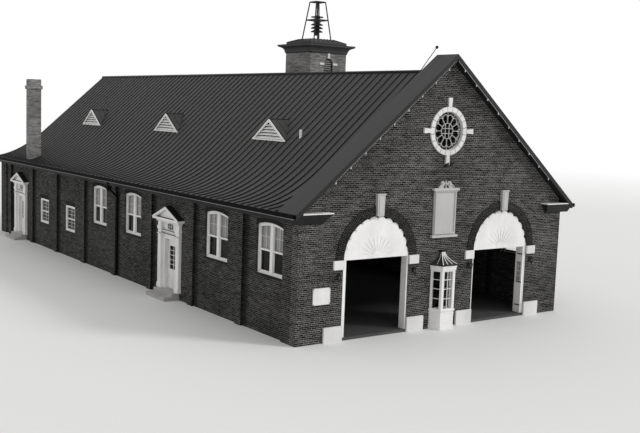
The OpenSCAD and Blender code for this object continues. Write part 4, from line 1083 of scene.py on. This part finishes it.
def leaf_bars(y):
    """Glazing bars and panel mouldings of one door leaf."""
    bars = Pile()
    top = DOOR_SILL_Z + LEAF_H - TOP_RAIL_H
    back = LEAF_X + LEAF_T / 2
    half = LEAF_W / 2 - STILE_W
    bars.box((LEAF_X + 0.004, y - 0.011, LOCK_Z), (back - 0.004, y + 0.011, top))
    for k in range(1, PANE_ROWS):
        z = LOCK_Z + (top - LOCK_Z) * k / PANE_ROWS
        bars.box((LEAF_X + 0.005, y - half, z - 0.01), (back - 0.005, y + half, z + 0.01))
    column = (LEAF_W - 3 * STILE_W) / 2
    bead, inset = 0.015, 0.03
    z0, z1 = DOOR_SILL_Z + 0.2, LOCK_Z - 0.12
    for side in (-1, 1):
        middle = y + side * (column + STILE_W) / 2
        low, high = middle - column / 2, middle + column / 2
        bars.raised(LEAF_X, 0.008, middle, column / 2 - inset, z0 + inset, z1 - inset)
        for u in (low + bead / 2, high - bead / 2):
            bars.raised(LEAF_X, 0.01, u, bead / 2, z0, z1)
        for z in (z0, z1 - bead):
            bars.raised(LEAF_X, 0.01, middle, column / 2 - bead, z, z + bead)
    return bars


def door_leaves():
    """Bars, panel mouldings and knobs, which ride on the two leaves."""
    for body, y in DOORS.items():
        knobs = Pile()
        knob_y, knob_z = y - LEAF_W / 2 + STILE_W / 2, LOCK_Z - 0.06
        for face, out in ((LEAF_X, -1), (LEAF_X + LEAF_T, 1)):
            knobs.bulb([(face + out * depth, knob_y, knob_z) for depth in KNOB_DEPTHS], KNOB_RADII)
        leaf_bars(y).piece(f"{body}_bars", "white_paint", body=body)
        knobs.piece(f"{body}_knobs", "dark_metal", body=body, smooth=True)


NECK_STEPS = 10
NECK_BAND_H = 0.035
TABLET_INSET = 0.09
TABLET_BEAD_R = 0.014
TABLET_DENTILS = 12


def swan_neck(stone, side):
    """Half of the broken scroll over the tablet, with a raised band along its top."""
    foot = TABLET_HEAD_Z + 0.002
    outer, inner = 0.46, 0.14
    curve = []
    for k in range(NECK_STEPS + 1):
        share = k / NECK_STEPS
        rise = 0.03 + 0.22 * math.sin(share * math.pi / 2)
        curve.append((side * (outer - (outer - inner) * share), foot + rise))
    plain = [(x, foot) for x, _ in curve]
    band = [(x, z - NECK_BAND_H) for x, z in curve]
    for under, near_y in ((plain, FRONT_Y - 0.07), (band, FRONT_Y - 0.1)):
        for i in range(NECK_STEPS):
            stone.through([curve[i], curve[i + 1], under[i + 1], under[i]], near_y, FRONT_Y - 0.002)


def tablet_trim(stone):
    """Inner frame, dentils and scroll of the tablet."""
    half = TABLET_HALF - TABLET_INSET
    foot, head = TABLET_FOOT_Z + TABLET_INSET, TABLET_HEAD_Z - TABLET_INSET
    corners = [(x, FRONT_Y - 0.062, z) for x, z in ((-half, foot), (half, foot), (half, head), (-half, head))]
    for start, end in zip(corners, corners[1:] + corners[:1]):
        stone.tube([start, end], TABLET_BEAD_R, 6)
    face = FRONT_Y - 0.1
    for k in range(TABLET_DENTILS):
        u = -0.55 + 0.1 * k
        low, high = TABLET_HEAD_Z - 0.075, TABLET_HEAD_Z - 0.03
        stone.box((u - 0.025, face - 0.02, low), (u + 0.025, face, high))
    for side in (-1, 1):
        swan_neck(stone, side)


def keystone_trim(stone, middle):
    """Raised panel and cap on one arch's keystone."""
    foot, head = SPRING_Z + ARCH_R + 0.08, SPRING_Z + ARCH_R + 0.72
    stone.box((middle - 0.09, FRONT_Y - 0.146, foot), (middle + 0.09, FRONT_Y - 0.13, head))
    stone.box((middle - 0.19, FRONT_Y - 0.15, head + 0.03), (middle + 0.19, FRONT_Y - 0.05, head + 0.08))


LANTERN_OUT = 0.14
LANTERN_Z = SPRING_Z - 0.65
LANTERN_GLASS = [(0.046, 0.0), (0.0745, 0.18)]


def lantern(x, dark, glass):
    """Ribs and glass of one wall lantern beside an arch."""
    y = FRONT_Y - LANTERN_OUT
    low, high = 0.047, 0.079
    for a, b in circle(6):
        foot = (x + a * low, y + b * low, LANTERN_Z - 0.06)
        head = (x + a * high, y + b * high, LANTERN_Z + 0.14)
        dark.tube([foot, head], 0.006, 5)
    glass.turned((x, y, LANTERN_Z - 0.05), LANTERN_GLASS, 12)


ENGINE_LEAF_T = 0.045
HINGE_ZS = (0.4, 1.35, 2.5)
HINGE_OUT = 0.005


def engine_door_trim(side, white, dark):
    """Glazing bars and hinges of one engine bay's two folded leaves."""
    low, high = 1.42, 2.21
    wide, tall = 0.016, 0.01
    for leaf in (0.5, 1.5):
        x = side * (ARCH_X + ARCH_R - 0.06 - leaf * ENGINE_LEAF_T)
        for k in (1, 2, 3):
            z = low + (high - low) * k / 4
            white.box((x - wide, FRONT_Y + 0.1, z - tall), (x + wide, FRONT_Y + 0.32, z + tall))
        face = x - side * ENGINE_LEAF_T / 2
        for z in HINGE_ZS:
            dark.box((face, FRONT_Y + 0.03, z), (face - side * HINGE_OUT, FRONT_Y + 0.3, z + 0.05))


RING_STONES = 20
RING_JOINT = 0.011


def ring_joints(dark):
    """Dark joints between the stones of the round window's ring."""
    inner, outer = 0.722, 0.9
    for a, b in circle(RING_STONES, 0.5):
        out = Vector((a, b))
        across = Vector((-b, a)) * RING_JOINT
        ring = [out * inner - across, out * outer - across, out * outer + across, out * inner + across]
        dark.through([(p.x, OCULUS_Z + p.y) for p in ring], FRONT_Y - 0.036, FRONT_Y - 0.033)


NOTICE_X = -HALF_W + 0.57
NOTICE_W = 0.72
NOTICE_ZS = (1.38, 1.96)


def notice_frame(white):
    """Raised edge of the notice board."""
    left, right, edge = NOTICE_X, NOTICE_X + NOTICE_W, 0.04
    foot, head = NOTICE_ZS
    spans = [(left, right, z, z + edge) for z in (foot, head - edge)]
    spans += [(x, x + edge, foot, head) for x in (left, right - edge)]
    for a, b, c, d in spans:
        white.box((a, FRONT_Y - 0.052, c), (b, FRONT_Y - 0.038, d))


def front_details():
    """Small pieces of the front, in one mesh for each finish."""
    stone, dark, glass, white = Pile(), Pile(), Pile(), Pile()
    tablet_trim(stone)
    for side in (-1, 1):
        keystone_trim(stone, side * ARCH_X)
        for place in (-1, 1):
            lantern(side * ARCH_X + place * (ARCH_R + 0.225), dark, glass)
        engine_door_trim(side, white, dark)
    ring_joints(dark)
    notice_frame(white)
    stone.piece("front_stone_trim", "tablet_stone", "trim_stone")
    dark.piece("front_ironwork", "dark_metal")
    glass.piece("lantern_glass", "lamp_glass", "glass", smooth=True)
    white.piece("front_white_trim", "white_paint")


CAP_W = 0.2
CAP_INSET = 0.02
CAP_T = 0.025


def chimney_cap():
    """Thin mortar on the chimney's rim."""
    cap = Pile()
    (x0, x1), (y0, y1), foot = CHIMNEY_XS, CHIMNEY_YS, CHIMNEY_Z
    rim = [(x0, x1, y, y + CAP_W) for y in (y0, y1 - CAP_W)]
    rim += [(x, x + CAP_W, y0, y1) for x in (x0, x1 - CAP_W)]
    for a, b, c, d in rim:
        cap.box((a + CAP_INSET, c + CAP_INSET, foot), (b - CAP_INSET, d - CAP_INSET, foot + CAP_T))
    cap.piece("chimney_cap", "concrete")


roof_seams()
vent_seams()
ridge_roll()
window_sashes()
window_heads()
eave_metal()
leader_heads()
rake_lamps()
tower_mouldings()
tower_cap_ribs()
tower_slats()
canted_bay_bars()
bell_roof_ribs()
shades()
door_trim()
door_leaves()
front_details()
chimney_cap()

SUN_STRENGTH = 1.4
SUN_PLACE = (34.0, -36.0, 30.0)
SUN_WIDTH = math.radians(14)
SKY_STRENGTH = 0.78
WHITE = (1.0, 1.0, 1.0, 1.0)


def soft_sun():
    """One broad sun from the front right."""
    data = bpy.data.lights.new("soft_sun", "SUN")
    data.energy = SUN_STRENGTH
    data.angle = SUN_WIDTH
    sun = link("soft_sun", data)
    sun.location = SUN_PLACE
    sun.rotation_euler = (-Vector(SUN_PLACE)).to_track_quat("-Z", "Y").to_euler()


def studio_sky():
    """Even light from all round, and a white background."""
    world = bpy.data.worlds.new("studio")
    bpy.context.scene.world = world
    world.use_nodes = True
    nodes, links = world.node_tree.nodes, world.node_tree.links
    soft = nodes["Background"]
    seen = nodes.new("ShaderNodeBackground")
    for background, strength in ((soft, SKY_STRENGTH), (seen, 1.0)):
        background.inputs["Color"].default_value = WHITE
        background.inputs["Strength"].default_value = strength
    ray = nodes.new("ShaderNodeLightPath")
    shown = ray.outputs["Is Camera Ray"]
    for other in ("Is Glossy Ray", "Is Transmission Ray"):
        either = nodes.new("ShaderNodeMath")
        either.operation = "MAXIMUM"
        links.new(shown, either.inputs[0])
        links.new(ray.outputs[other], either.inputs[1])
        shown = either.outputs[0]
    mixed = nodes.new("ShaderNodeMixShader")
    for socket, source in zip(mixed.inputs, (shown, soft.outputs[0], seen.outputs[0])):
        links.new(source, socket)
    links.new(mixed.outputs[0], nodes["World Output"].inputs["Surface"])


FLOOR_HALF = 300.0
FADE_FROM = 45.0
FADE_TO = 110.0


def studio_floor():
    """Pale floor that fades into the white background."""
    finish = Finish("studio_floor", 0.8)
    finish.colour((0.74, 0.74, 0.73, 1.0))
    reach = finish.length(finish.place)
    fade = finish.add("MapRange", Value=reach, From_Min=FADE_FROM, From_Max=FADE_TO)
    glow = finish.add("Emission", Color=WHITE, Strength=1.0)
    blend = finish.add("MixShader")
    for socket, source in zip(blend.inputs, (fade, finish.shader, glow)):
        finish.feed(socket, source.outputs[0])
    finish.feed(finish.nodes["Material Output"].inputs["Surface"], blend.outputs[0])
    mesh = bpy.data.meshes.new("studio_floor")
    corners = [(a * FLOOR_HALF, b * FLOOR_HALF, 0) for a, b in ((-1, -1), (1, -1), (1, 1), (-1, 1))]
    mesh.from_pydata(corners, [], [[0, 1, 2, 3]])
    mesh.materials.append(finish.material)
    made = link("studio_floor", mesh)
    made.location.z = -0.002


CAMERA_PLACE = (-24.343, -41.668, 8.031)
YAW = math.radians(35.947)
PITCH = math.radians(-6.455)
ROLL = math.radians(2.091)
LENS = 52.86


def photo_camera():
    """The photograph's camera, as solved with the building's size."""
    data = bpy.data.cameras.new("camera")
    data.sensor_width = 36.0
    data.sensor_fit = "HORIZONTAL"
    data.lens = LENS
    data.clip_end = 1000.0
    camera = link("camera", data)
    camera.matrix_world = Matrix.Translation(CAMERA_PLACE)
    for angle, axis in ((-YAW, "Z"), (math.pi / 2 + PITCH, "X"), (ROLL, "Z")):
        camera.matrix_world = camera.matrix_world @ Matrix.Rotation(angle, 4, axis)
    bpy.context.scene.camera = camera


soft_sun()
studio_sky()
studio_floor()
photo_camera()
bpy.context.scene.view_settings.view_transform = "Standard"
